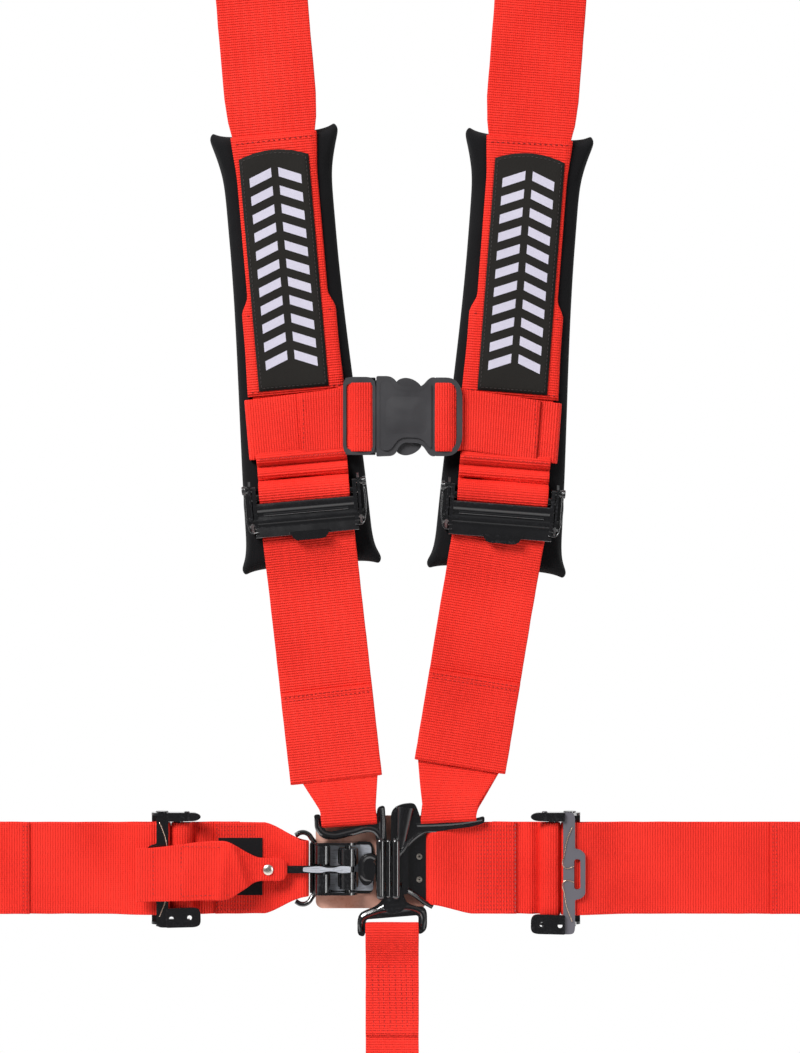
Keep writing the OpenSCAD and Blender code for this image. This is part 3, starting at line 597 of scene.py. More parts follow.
# ---------------------------------------------------------------- webbing
def upper_strap(side):
    """From the anchor plate down under the sleeve and round the adjuster's fixed bar."""
    f = shoulder_frame(side)
    top = DROP[side] - ANCHOR_BAR
    full, slim = WEB_W / 2, 31.5
    rows = lay(f, [(Y_FOLD, top - 110), (Y_FOLD, top - 70), *ease((Y_FOLD, top - 70), (ANCHOR_LOOP, top)),
                   *arc((0, top), ANCHOR_LOOP, 0, 180), *ease((-ANCHOR_LOOP, top), (Y_MAIN, top - 45)),
                   (Y_MAIN, top - 45), (Y_MAIN, SLEEVE[1] + 32)], full)
    for z, half in ((SLEEVE[1] + 12, 36.6), (SLEEVE[1] + 1, 34.6), (SLEEVE[1] - 22, slim), (190, slim), (120, 35),
                    (88, 36)):
        rows += lay(f, [(Y_MAIN, z)], half)
    roll = FIXED_LOOP + 2.2
    # two soft rolls of webbing above the bar: how far each point stands in front, and its height
    rolls = ((0, 50), (0.2, 42), (3.4, 38), (6.4, 34), (6.9, 31), (5.0, 28), (0.9, 26.6), (1.2, 25), (5.0, 22.8),
             (6.8, 19.6), (6.2, 16.6), (2.8, 14.8), (3.0, 13.6))
    rows += lay(f, [*((Y_MAIN - out, z) for out, z in rolls), (BAR_Y - 1.6, 12.6), (BAR_Y - 5.0, 10.8),
                    (BAR_Y - 6.9, 7.4), (BAR_Y - roll - 0.8, 3.5), *arc((BAR_Y, 0), roll, 180, 360, 16),
                    *ease((BAR_Y + roll, 0), (Y_FOLD, 28)), (Y_FOLD, 28), (Y_FOLD, 80)], full - 0.6)
    name = SIDE[side]
    strap(f"webbing_shoulder_upper_{name}", rows, "root", f"shoulder_strap_upper_{name}", 3 + side)


def lower_strap(side):
    """Three stretches in one: the slide bar's loop with its tail, and the run down to the tongue."""
    f, g, h = shoulder_frame(side), lower_frame(side), tongue_frame(side)
    full, bunch = WEB_W / 2, BUNCH_W / 2
    end = g.inverted() @ Vector((TONGUE[side][0], 0, TONGUE[side][1]))
    front, back = BAR_Y - SLIDE_LOOP, BAR_Y + SLIDE_LOOP
    slot_front, slot_back = BAR_Y - SLOT_LOOP, BAR_Y + SLOT_LOOP
    tail = -TAIL[side]
    fold_y = (Y_LAP_FRONT + Y_HEM) / 2
    rows = lay(g, [(Y_HEM, tail + HEM), (Y_HEM, tail + 4)] + arc((fold_y, tail), 0.85, 180, 360, 6)
               + [(Y_LAP_FRONT, tail + 4), (Y_LAP_FRONT, -60), *ease((Y_LAP_FRONT, -60), (front, -12))], full)
    rows += lay(f, [(front, -SHOULDER_GAP - 4), *arc((BAR_Y, 2 - SHOULDER_GAP), SLIDE_LOOP, 180, 0, 16),
                    (back, -SHOULDER_GAP - 4)], full)
    rows += lay(g, [*ease((back, -12), (Y_LAP, -40)), (Y_LAP, -40), (Y_LAP, end.z + 58)], full)
    # the taper into the tongue: the strap gathers towards the tongue's own middle
    down = [(Y_LAP, end.z + 58), *ease((Y_LAP, end.z + 46), (slot_front, end.z + 6), 14)]
    for y, z in down:
        t = min(1.0, max(0.0, (end.z + 54 - z) / 44))
        row = lay(g, [(y, z)], mix(full, bunch, t), end.x * t)[0]
        tilt = (h.to_3x3() @ Vector((1, 0, 0))).normalized()
        rows.append((row[0], row[1].lerp(tilt, t).normalized(), row[2], row[3]))
    rows += lay(h, arc((BAR_Y, 0), SLOT_LOOP, 180, 360, 16), bunch)
    for y, z in [*ease((slot_back, end.z + 6), (Y_LAP_FOLD, end.z + 36)), (Y_LAP_FOLD, end.z + 40),
                 (Y_LAP_FOLD, end.z + 50), (Y_LAP_FOLD, end.z + 60), (Y_LAP_FOLD, end.z + 80)]:
        t = 1 - min(1.0, max(0.0, (z - end.z - 10) / 44))
        rows += lay(g, [(y, z)], mix(full - 1, bunch, t), end.x * t)
    name = SIDE[side]
    strap(f"webbing_shoulder_lower_{name}", rows, "root", f"shoulder_strap_lower_{name}", 9 + side)


def lap_inner(side):
    """Sewn loop from the latch, with its cut end in front, to the adjuster's fixed bar."""
    f = lap_frame(side)
    end = LAP_FIXED[side] - abs(LAP_BAR[side])
    end_y = BAR_Y if side < 0 else LINK_Y
    bunch, full = (BUNCH_W / 2 if side < 0 else 30.0), WEB_W / 2
    loop = SLOT_LOOP + (0.0 if side < 0 else 1.2)

    def half(z):
        start = end - 36
        return mix(full, bunch, smooth((z - start) / 40)) if z > start else full

    points = [(Y_LAP_FRONT, 30), (Y_LAP_FRONT, end - 32),
              *ease((Y_LAP_FRONT, end - 32), (end_y - loop, end), 14), *arc((end_y, end), loop, 180, 0, 16),
              *ease((end_y + loop, end), (Y_LAP, end - 32), 14), (Y_LAP, end - 32), (Y_LAP, 27),
              (Y_LAP - 2.4, 20), (Y_LAP - 2.6, 16.6), (Y_LAP - 0.2, 12.6), (Y_LAP - 0.6, 10.6), (BAR_Y + 2.6, 9.8),
              (BAR_Y - 1.4, 10.2), (BAR_Y - 4.2, 8.4), (BAR_Y - 5.6, 5.2), (BAR_Y - 5.9, 2),
              *arc((BAR_Y, 0), FIXED_LOOP + 1.2, 180, 360, 18),
              *ease((BAR_Y + FIXED_LOOP, 0), (Y_LAP_FOLD, 26)), (Y_LAP_FOLD, 26), (Y_LAP_FOLD, 50)]
    rows = []
    for y, z in points:
        rows += lay(f, [(y, z)], half(z))
    name = SIDE[side]
    strap(f"webbing_lap_inner_{name}", rows, f"lap_{name}", f"lap_strap_inner_{name}", 17 + side, ripple=0.08)


def lap_outer(side):
    f = lap_frame(side)
    tail = LAP_FIXED[side] - LAP_TAIL
    bar = LAP_FIXED[side] - LAP_HALF_SPAN + ANCHOR_BAR
    front, back = BAR_Y - SLIDE_LOOP, BAR_Y + SLIDE_LOOP
    fold_y = (Y_LAP_FRONT + Y_HEM) / 2
    points = [(Y_HEM, tail + 38), (Y_HEM, tail + 4), *arc((fold_y, tail), 0.85, 180, 360, 6), (Y_LAP_FRONT, tail + 4),
              (Y_LAP_FRONT, -64), *ease((Y_LAP_FRONT, -64), (front, -20)),
              *arc((BAR_Y, 2 - LAP_GAP), SLIDE_LOOP, 180, 0, 16),
              (back, -20), (Y_LAP, -44), (Y_LAP, bar + 45), *ease((Y_LAP, bar + 45), (LAP_PLATE_Y - ANCHOR_LOOP, bar)),
              *arc((LAP_PLATE_Y, bar), ANCHOR_LOOP, 180, 360, 14),
              *ease((LAP_PLATE_Y + ANCHOR_LOOP, bar), (Y_LAP_FOLD, bar + 50)), (Y_LAP_FOLD, bar + 50),
              (Y_LAP_FOLD, bar + 80)]
    name = SIDE[side]
    strap(f"webbing_lap_outer_{name}", lay(f, points), f"lap_{name}", f"lap_strap_outer_{name}", 23 + side)


def crotch():
    f = Matrix.Translation((CROTCH_X, 0, 0))
    bar, low, loop = CROTCH_BAR_Z, CROTCH_ANCHOR_Z + ANCHOR_BAR, SLOT_LOOP + 1.3
    points = [(Y_LAP_FRONT - 0.2, CROTCH_FRONT_Z), (Y_LAP_FRONT, bar - 32),
              *ease((Y_LAP_FRONT, bar - 32), (BAR_Y - loop, bar), 14), *arc((BAR_Y, bar), loop, 180, 0, 16),
              *ease((BAR_Y + loop, bar), (Y_LAP, bar - 32)), (Y_LAP, bar - 32), (Y_LAP, low + 40),
              *ease((Y_LAP, low + 40), (LAP_PLATE_Y - ANCHOR_LOOP, low)),
              *arc((LAP_PLATE_Y, low), ANCHOR_LOOP, 180, 360, 14),
              *ease((LAP_PLATE_Y + ANCHOR_LOOP, low), (Y_LAP_FOLD, low + 45)), (Y_LAP_FOLD, low + 45),
              (Y_LAP_FOLD, low + 75)]
    strap("webbing_crotch", lay(f, points, CROTCH_W / 2), "crotch", "crotch_strap", 31)


def sternum(side):
    """Round the shoulder strap, round its half of the buckle, and back over itself."""
    f = strap_frame(side, BAND_UP)
    half = STERNUM_W / 2
    wrap_x, wrap_y = side * (WEB_W / 2 + 0.9), (Y_BAND + Y_BAND_BACK) / 2
    wrap_r = (Y_BAND_BACK - Y_BAND) / 2
    outside = f @ Vector((wrap_x, 0, 0))
    inner_x, outer_x = (-21.9, -43.6) if side < 0 else (27.4, 45.6)
    tilt = (f.to_3x3() @ Vector((0, 0, 1))).normalized()
    rows = []

    def add(x, y):
        """A row of the band at row place x: its tilt eases from the strap's to the buckle's."""
        t = smooth((abs(x) - 40) / 60)
        z = mix(BUCKLE_Z + 1.0, outside.z, min(1.0, max(0.0, (abs(x) - 40) / (abs(outside.x) - 40))))
        near = half + 3.4 * smooth((52 - abs(x)) / 8)
        rows.append((Vector((x, y, z)), Vector((0, 0, 1)).lerp(tilt, t).normalized(), near, near))

    angles = [90 - 180 * i / 12 for i in range(13)]
    back = [(-side * 30, Y_BAND_BACK), (side * 20, Y_BAND_BACK)]
    wrap = [(wrap_x + side * wrap_r * math.cos(math.radians(a)), wrap_y + wrap_r * math.sin(math.radians(a)))
            for a in angles]
    for x, y in back + wrap:
        rows.append((f @ Vector((x, y, 0)), tilt, half, half))
    add(outside.x - side * 20, Y_BAND)
    add(outer_x + side * 16, Y_BAND)
    add(outer_x + side * 4, Y_BAND + 0.8)
    add(outer_x - side * 4, -8.4)
    turn = 4.2
    for a in angles:
        add(inner_x + side * turn - side * turn * math.cos(math.radians(a)), -12.2 + 4.1 * math.sin(math.radians(a)))
    middle = (inner_x + outer_x) / 2
    add(middle, -17.0)
    add(outer_x - side * 4.5, -16.4)
    add(outer_x - side * 0.8, -14.4)
    add(outer_x + side * 2.2, Y_BAND_TOP - 0.9)
    add(outer_x + side * 7, Y_BAND_TOP)
    add((outer_x + BAND_END[side]) / 2, Y_BAND_TOP)
    add(BAND_END[side], Y_BAND_TOP - 0.2)
    name = SIDE[side]
    strap(f"webbing_sternum_{name}", rows, "root", f"sternum_strap_{name}", 41 + side, ripple=0.12)


def tab_half(x, upper):
    """Half height of the pull tab at x: broad over the adjuster, drawn in at the lever."""
    wide = 24.0 if upper else 24.5
    if x < -150:
        return mix(18.0 if upper else 26.0, wide, smooth((x + 216) / 66))
    end = 5.0 * (1 - math.sqrt(1 - min(1.0, max(0.0, (x + 101) / 8)) ** 2))
    return mix(wide, 9.3, smooth((x + 146) / 32)) - end


def pull_tab():
    front, back = -22.0, -16.6
    line = [(-93, front), (-118, front)]
    line += [(x, y) for y, x in ease((front, -118), (TAB_TOP, -138))]
    line += [(-138, TAB_TOP), (-210, TAB_TOP)]
    line += [(x, y) for y, x in arc((TAB_TOP + TAB_SPREAD / 2, -216), TAB_SPREAD / 2, 180, 360, 8)]
    line += [(-210, TAB_TOP + TAB_SPREAD), (-138, TAB_TOP + TAB_SPREAD)]
    line += [(x, y) for y, x in ease((TAB_TOP + TAB_SPREAD, -138), (back, -117.5))]
    line += [(-117.5, back), (-93, back)]
    rows = []
    for a, b in zip(line, line[1:]):
        n = max(1, int(abs(b[0] - a[0]) / 3))
        for i in range(n):
            x, y = mix(a[0], b[0], i / n), mix(a[1], b[1], i / n)
            rows.append((Vector((x, y, LATCH_Z)), Vector((0, 0, 1)), tab_half(x, False), tab_half(x, True)))
    rows.append((Vector((-93, back, LATCH_Z)), Vector((0, 0, 1)), 4.3, 4.3))

    def puff(s, v, total):
        """Soft creases over the front of the tab, as in webbing that is often pulled."""
        t = s / total
        if not 0.1 < t < 0.47:
            return 0.0
        fade = smooth((t - 0.1) / 0.06) * smooth((0.47 - t) / 0.05)
        fold = 4.0 * math.exp(-(((s - 39 - 7 * v) / 3.4) ** 2)) + 2.4 * math.exp(-(((s - 53 + 3 * v) / 4.2) ** 2))
        fold += 1.4 * math.exp(-(((s - 84 + 3 * v) / 6) ** 2)) * (1 - v * v)
        return fade * (fold + 0.7 * wave((s, v * 16, 0), 77, 0.05))

    strap("webbing_pull_tab", rows, "latch_lever", "pull_tab", 51, thickness=1.3, relief=puff)


# ---------------------------------------------------------------- pads, sleeves and labels
def pad_half(t):
    """Half width of a pad, t from 0 at the top to 1 at the bottom, with its flared corners."""
    ends = 8.0 * math.exp(-((t / 0.07) ** 2)) + 5.0 * math.exp(-(((1 - t) / 0.04) ** 2))
    return mix(47.0, 55.0, smooth((t - 0.25) / 0.75)) + ends


def shoulder_pad(side):
    """A soft cushion, thinner at its rim, with a crease inside the edge and shallow wrinkles."""
    f = shoulder_frame(side)
    rows, columns, rim = 72, 24, 9.0
    length = PAD[1] - PAD[0]
    y_front, thick = -1.9, 13.2
    verts = []
    for face in (0, 1):
        for i in range(rows + 1):
            t = smooth(i / rows) * 0.3 + i / rows * 0.7
            for k in range(columns + 1):
                v = math.sin(math.pi / 2 * (-1 + 2 * k / columns)) * 0.5 + (-1 + 2 * k / columns) * 0.5
                half = pad_half(t)
                near_end = min(t, 1 - t) * length
                rounding = max(0.0, 1 - near_end / rim)
                x = v * (half - 3.5 * (1 - math.sqrt(max(0.0, 1 - rounding ** 2))))
                z = PAD[1] - t * length + (5.0 if t < 0.5 else -4.0) * abs(v) ** 6 * smooth(1 - near_end / 30)
                edge = min(1.0, (half - abs(x)) / rim)
                end = min(1.0, near_end / rim)
                full = math.sqrt(max(0.0, 1 - (1 - edge) ** 2)) * math.sqrt(max(0.0, 1 - (1 - end) ** 2))
                half_t = thick / 2 * (0.2 + 0.8 * full)
                crease = math.exp(-((half - abs(x) - rim) / 1.4) ** 2)
                y = y_front + thick / 2 + (-half_t + 0.7 * crease if face == 0 else half_t - 0.3 * crease)
                at = (x, z, face * 40)
                wrinkle = wave(at, 60 + side, 0.03) * 0.6 + wave(at, 66 + side, 0.08) * 0.35
                y += wrinkle * (0.35 if face == 0 and abs(v) < 0.72 else 1.3)
                verts.append(f @ Vector((x, y, z)))
    name = SIDE[side]
    pad = add_object(f"padded_cover_{name}", verts, shell_faces(rows, columns), PAD_CLOTH, f"shoulder_pad_{name}")
    plump(pad, 0.0022)
    sub = pad.modifiers.new("round", "SUBSURF")
    sub.levels = sub.render_levels = 1
    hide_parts(f"shoulder_pad_{name}")
    edge_seam(f, name)


def plump(obj, cap):
    """Cloth pressure for a few frames, with every point kept within cap of where it started."""
    rest = [v.co.copy() for v in obj.data.vertices]
    cloth = obj.modifiers.new("cloth", "CLOTH")
    s = cloth.settings
    s.quality = 5
    s.mass = 0.2
    s.tension_stiffness = s.compression_stiffness = 12
    s.bending_stiffness = 1.0
    s.use_pressure = True
    s.uniform_pressure_force = 3.0
    s.effector_weights.gravity = 0.0
    scene = bpy.context.scene
    for i in range(1, 13):
        scene.frame_set(i)
    deps = bpy.context.evaluated_depsgraph_get()
    moved = [v.co.copy() for v in obj.evaluated_get(deps).data.vertices]
    obj.modifiers.remove(cloth)
    scene.frame_set(1)
    for v, a, b in zip(obj.data.vertices, rest, moved):
        d = b - a
        v.co = a + (d * (cap / d.length) if d.length > cap else d)
    obj.data.update()


def edge_seam(f, name):
    """The sewn line that runs down each long edge of the cover."""
    runs = []
    for s in (-1, 1):
        runs.append(in_frame(f, [(s * (pad_half(i / 20) - 9.5), -1.5, mix(PAD[1] - 12, PAD[0] + 12, i / 20))
                                 for i in range(21)]))
    seam = stitches(f"pad_seam_{name}", runs, f"shoulder_pad_{name}", BLACK_THREAD, 3.2, 1.2, 0.5)


def sleeve_half(z):
    waist = 32.6 + 2.4 * smooth((z - 262) / 40)
    return mix(waist, 38.2 + 1.2 * smooth((130 - z) / 50), smooth((168 - z) / 16))


def sleeve(side):
    """Webbing cover over the strap, turned back at both edges to the pad."""
    f = shoulder_frame(side)
    outer, back = -7.3, -2.2
    verts, uvs = [], []
    low, high = SLEEVE[0] + 1.0, SLEEVE[1]
    steps, columns = 56, 17
    profile = [i / (columns - 1) * 2 - 1 for i in range(columns)]
    for i in range(steps + 1):
        z = mix(high, low, i / steps)
        half = sleeve_half(z)
        ring = [(-half - 0.6, back), (-half - 0.9, -4.5), (-half - 0.5, outer + 0.9)]
        ring += [(v * half, outer + 0.35 * abs(v) ** 6) for v in profile]
        ring += [(half + 0.5, outer + 0.9), (half + 0.9, -4.5), (half + 0.6, back)]
        inner = [(x * (1 - 1.2 / half), min(back, y + 1.1)) for x, y in ring][::-1]
        for x, y in ring + inner:
            lift = 0.22 * wave((x, z, 0), 70 + side, 0.03)
            verts.append(f @ Vector((x, y - lift, z)))
            uvs.append((z * MM, x * MM))
    name = SIDE[side]
    faces = tube_faces(steps, 2 * (columns + 6))
    obj = add_object(f"webbing_sleeve_{name}", verts, faces, WEB, f"shoulder_pad_{name}")
    lay_uv(obj, uvs)
    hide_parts(f"pad_sleeve_{name}")
    y = outer - 0.45
    runs = [[(-33, y, high - 6), (33, y, high - 4)], [(-38, y, low + 4), (38, y, low + 4)],
            [(-38, y, 152), (-30, y, 151)], [(38, y, 152), (30, y, 151)]]
    sewn(f"sleeve_stitch_{name}", f, runs, f"shoulder_pad_{name}", RED_THREAD,
         length=2.6, gap=1.6, width=0.7, slant=0.25)


def label(side):
    """Black patch with an arched top, its sewn border and a generic pattern of pale bars."""
    f, name = shoulder_frame(side), SIDE[side]
    half, low, high, arch = 29.0, SLEEVE[0] + 5, SLEEVE[0] + 204, 6.0
    lean_x = 1.5 * side
    y0, thick = -8.0, 0.7
    columns, rows = 14, 48

    def sway(x, z):
        """The sleeve's own slow waves, which the patch and its print follow."""
        return 0.22 * wave((x, z, 0), 70 + side, 0.03)

    verts = []
    for face in (0, 1):
        for i in range(rows + 1):
            for k in range(columns + 1):
                v = -1 + 2 * k / columns
                x = v * half + lean_x
                z = mix(low, high - arch * v * v, i / rows)
                edge = min(1.0, min((1 - abs(v)) * half, i * 4.2, (rows - i) * 4.2) / 1.6)
                y = y0 - (thick * (0.35 + 0.65 * edge) if face == 0 else 0)
                verts.append(f @ Vector((x, y - sway(x, z), z)))
    patch = add_object(f"label_patch_{name}", verts, shell_faces(rows, columns), LABEL, f"shoulder_pad_{name}")
    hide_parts(f"pad_label_{name}")
    # generic pattern: slanted bars in two lanes that rise towards the middle, each bar a thin raised print
    bars, bar_faces = [], []
    y1, steps, rise, bar_height, pitch = y0 - thick, 6, 7.5, 7.6, 15.2
    for row in range(11):
        z0 = low + 17 + row * pitch
        for xa, xb, za, zb in ((-21.5, -3.0, z0, z0 + rise), (3.0, 21.5, z0 + rise, z0)):
            base = len(bars)
            for face in (0, 1):
                for j in range(steps + 1):
                    for dz in (0, bar_height):
                        x, z = mix(xa + lean_x, xb + lean_x, j / steps), mix(za, zb, j / steps) + dz
                        y = y1 - (0.12 if face == 0 else -0.2) - sway(x, z)
                        bars.append(f @ Vector((x, y, z)))
            back = 2 * (steps + 1)
            for j in range(steps):
                a = base + 2 * j
                c = a + back
                bar_faces += [(a, a + 1, a + 3, a + 2), (c, c + 2, c + 3, c + 1), (a, a + 2, c + 2, c),
                              (a + 1, c + 1, c + 3, a + 3)]
            c = base + back
            bar_faces.append((base, c, c + 1, base + 1))
            bar_faces.append((base + 2 * steps, base + 2 * steps + 1, c + 2 * steps + 1, c + 2 * steps))
    marks = add_object(f"label_print_{name}", bars, bar_faces, PRINT, f"shoulder_pad_{name}", False)
    y = y1 - 0.1
    side_x, foot = half - 2.4, low + 2.4
    shoulder, crown = high - arch - 1.5, high - arch / 4 - 2.6
    border = [(side_x, foot), (side_x, shoulder), (half / 2, crown), (0, high - 2.6), (-half / 2, crown),
              (-side_x, shoulder), (-side_x, foot), (side_x, foot)]
    run = in_frame(f, [(x + lean_x, y, z) for x, z in border])
    seam = stitches(f"label_stitch_{name}", [run], f"shoulder_pad_{name}", BLACK_THREAD, 2.4, 1.1, 0.5)


# ---------------------------------------------------------------- sewing on the straps
def field(x0, x1, z0, z1, y, step):
    """Parallel stitch lines across a patch, from z0 to z1."""
    n = max(1, round(abs(z1 - z0) / step))
    return [[(x0, y, mix(z0, z1, i / n)), (x1, y, mix(z0, z1, i / n))] for i in range(n + 1)]


def sewn(name, frame, runs, body, thread, **how):
    seam = stitches(name, [in_frame(frame, run) for run in runs], body, thread, **how)


def sew_straps():
    flat = dict(length=1.5, gap=1.7, width=0.55)
    lap_y, front_y = Y_HEM - THREAD_LIFT, Y_LAP_FRONT - THREAD_LIFT
    for side in (-1, 1):
        name, lap = SIDE[side], lap_frame(side)
        body = f"lap_{name}"
        hem = HEM - TAIL[side]
        sewn(f"hem_stitch_{name}", lower_frame(side), [[(-36, lap_y, hem - 4), (36, lap_y, hem - 3)],
                                                       [(-36, lap_y, hem - 7), (36, lap_y, hem - 6.4)]],
             "root", RED_THREAD, length=2.2, gap=1.4, width=0.5)
        zigzag = [(x, Y_MAIN - 7.9, 31.6 + (1.0 if i % 2 else -1.0)) for i, x in enumerate(range(-35, 36, 2))]
        sewn(f"roll_stitch_{name}", shoulder_frame(side), [zigzag], "root", RED_THREAD, length=2.0, gap=0.5, width=0.45)
        sewn(f"lap_overlap_stitch_{name}", lap, field(-36, 36, 32.5, 62, front_y, 2.6), body, RED_THREAD, **flat)
        sewn(f"lap_edge_thread_{name}", lap, [[(-37, Y_LAP_FRONT - 0.9, 31), (37, Y_LAP_FRONT - 0.9, 31)]],
             body, GREY_THREAD if side > 0 else RED_THREAD, length=2.0, gap=1.2, width=0.5)
        tail = LAP_FIXED[side] - LAP_TAIL
        sewn(f"lap_tail_stitch_{name}", lap, field(-36, 36, tail + 33, tail + 36, lap_y, 3), body, RED_THREAD, **flat)
        x, y = BAND_END[side] - side * 3, Y_BAND_TOP - 1.1
        sewn(f"band_stitch_{name}", Matrix(), [[(x, y, -547), (x, y, -505)]], "root", RED_THREAD,
             length=2.2, gap=1.4, width=0.45)
    y = front_y
    rows = [[(-20, y, -968.6), (20, y, -967.4)], [(-20, y, -1029), (20, y, -1028)]]
    rows += [[(x, y, -970), (x + 1.6, y, -1027)] for x in (-17, -12, -8, -3, 2, 7, 11, 16)]
    sewn("crotch_stitch", Matrix.Translation((CROTCH_X, 0, 0)), rows, "crotch", RED_THREAD,
         length=2.4, gap=1.2, width=0.45)
    y = TAB_TOP - 1.6
    box_runs = [[(-203, y, -21), (-203, y, 17)], [(-180, y, 20), (-140, y, 19)], [(-180, y, -21), (-140, y, -20)],
                [(-180, y, -21), (-180, y, 20)]]
    sewn("tab_stitch", Matrix.Translation((0, 0, LATCH_Z)), box_runs, "latch_lever", RED_THREAD,
         length=2.2, gap=1.3, width=0.5)


# ---------------------------------------------------------------- shaped metal and plastic
FRONT = Matrix.Rotation(math.pi / 2, 4, "X")
SIDE_ON = Matrix(((0, 0, 1, 0), (1, 0, 0, 0), (0, 1, 0, 0), (0, 0, 0, 1)))
UPRIGHT = Matrix()


def rounded(points, n=5):
    """Corner points (x, y, reach) with every corner turned into a short curve."""
    out = []
    for i, (x, y, r) in enumerate(points):
        p = Vector((x, y))
        a, b = Vector(points[i - 1][:2]) - p, Vector(points[(i + 1) % len(points)][:2]) - p
        cut_a, cut_b = min(r, a.length * 0.48), min(r, b.length * 0.48)
        if r <= 0:
            out.append(p)
            continue
        p0, p1 = p + a.normalized() * cut_a, p + b.normalized() * cut_b
        for k in range(n + 1):
            t = k / n
            out.append(p0 * (1 - t) ** 2 + p * 2 * t * (1 - t) + p1 * t * t)
    return out


def rect(x0, x1, top, bottom, r):
    """A rectangle's corner points, from its two sides and its two ends."""
    return [(x0, top, r), (x1, top, r), (x1, bottom, r), (x0, bottom, r)]


def disc(x, y, radius, r):
    """Twelve corner points round a centre."""
    return [(x + radius * math.cos(k * math.pi / 6), y + radius * math.sin(k * math.pi / 6), r) for k in range(12)]


class Piece:
    """One mesh made of plates, rods and wires, in millimetres in the given frame."""

    def __init__(self, name, material, body, replaces=(), slot="black_steel", place=UPRIGHT):
        self.name, self.material, self.body = name, material, body
        self.replaces, self.slot, self.place = replaces, slot, place
        self.bm = bmesh.new()

    def take(self, data, at):
        temp = bpy.data.objects.new("temp", data)
        bpy.context.scene.collection.objects.link(temp)
        deps = bpy.context.evaluated_depsgraph_get()
        mesh = bpy.data.meshes.new_from_object(temp.evaluated_get(deps))
        mesh.transform(self.place @ at)
        self.bm.from_mesh(mesh)
        bpy.data.objects.remove(temp)
        bpy.data.curves.remove(data)
        bpy.data.meshes.remove(mesh)

    def slab(self, outlines, thick, middle=0.0, at=FRONT):
        """A plate cut to its outline and holes; middle is its depth along the extrusion."""
        data = bpy.data.curves.new("outline", "CURVE")
        data.dimensions = "2D"
        data.fill_mode = "BOTH"
        data.extrude = thick / 2
        for line in outlines:
            points = rounded(line)
            spline = data.splines.new("POLY")
            spline.points.add(len(points) - 1)
            spline.use_cyclic_u = True
            for q, c in zip(spline.points, points):
                q.co = (c[0], c[1], 0, 1)
        depth = -middle if at is FRONT else middle
        self.take(data, at @ Matrix.Translation((0, 0, depth)))

    def wire(self, points, r):
        data = bpy.data.curves.new("wire", "CURVE")
        data.dimensions = "3D"
        data.bevel_depth = r
        data.bevel_resolution = 3
        data.use_fill_caps = True
        spline = data.splines.new("BEZIER")
        spline.bezier_points.add(len(points) - 1)
        for q, c in zip(spline.bezier_points, points):
            q.co = c
            q.handle_left_type = q.handle_right_type = "AUTO"
        data.resolution_u = 8
        self.take(data, UPRIGHT)

    def rod(self, a, b, r, r_end=None):
        a, b = Vector(a), Vector(b)
        turn = (b - a).to_track_quat("Z", "Y").to_matrix().to_4x4()
        bmesh.ops.create_cone(self.bm, cap_ends=True, segments=28, radius1=r, radius2=r if r_end is None else r_end,
                              depth=(b - a).length, matrix=self.place @ Matrix.Translation((a + b) / 2) @ turn)

    def swell(self, outline, front, height):
        """A face that rises in a soft dome from its outline towards its middle."""
        line = rounded(outline)
        middle = sum(line, Vector((0, 0))) / len(line)
        levels = (1, 0.97, 0.9, 0.8, 0.68, 0.54, 0.38, 0.2)
        rings = []
        for t in levels:
            flat = [middle + (q - middle) * t for q in line]
            rings.append([self.bm.verts.new(self.place @ Vector((q.x, front - height * (1 - t * t) ** 2, q.y)))
                          for q in flat])
        for low, high in zip(rings, rings[1:]):
            for k in range(len(line)):
                j = (k + 1) % len(line)
                self.bm.faces.new((low[k], low[j], high[j], high[k]))
        self.bm.faces.new(rings[-1])
        base = [self.bm.verts.new(self.place @ Vector((q.x, front + 1.5, q.y))) for q in line]
        for k in range(len(line)):
            j = (k + 1) % len(line)
            self.bm.faces.new((base[k], base[j], rings[0][j], rings[0][k]))
        self.bm.faces.new(base[::-1])

    def lens(self, at, size):
        """A flattened ball, for soft swells on cast and moulded faces."""
        bmesh.ops.create_uvsphere(self.bm, u_segments=40, v_segments=24, radius=1,
                                  matrix=self.place @ Matrix.Translation(at) @ Matrix.Diagonal((*size, 1)))

    def done(self, bevel=0.5, segments=2, angle=32):
        bmesh.ops.remove_doubles(self.bm, verts=self.bm.verts, dist=0.004)
        bmesh.ops.recalc_face_normals(self.bm, faces=self.bm.faces)
        bmesh.ops.scale(self.bm, vec=(MM, MM, MM), verts=self.bm.verts)
        mesh = bpy.data.meshes.new(self.name)
        self.bm.to_mesh(mesh)
        self.bm.free()
        obj = enter(self.name, mesh, self.material, self.body)
        if self.replaces:
            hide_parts(*self.replaces)
        if bevel:
            ease_edges(obj, bevel, segments, angle)


def ease_edges(obj, bevel, segments, angle):
    mod = obj.modifiers.new("edges", "BEVEL")
    mod.width = bevel * MM
    mod.segments = segments
    mod.limit_method = "ANGLE"
    mod.angle_limit = math.radians(angle)
    obj.modifiers.new("weights", "WEIGHTED_NORMAL").keep_sharp = True


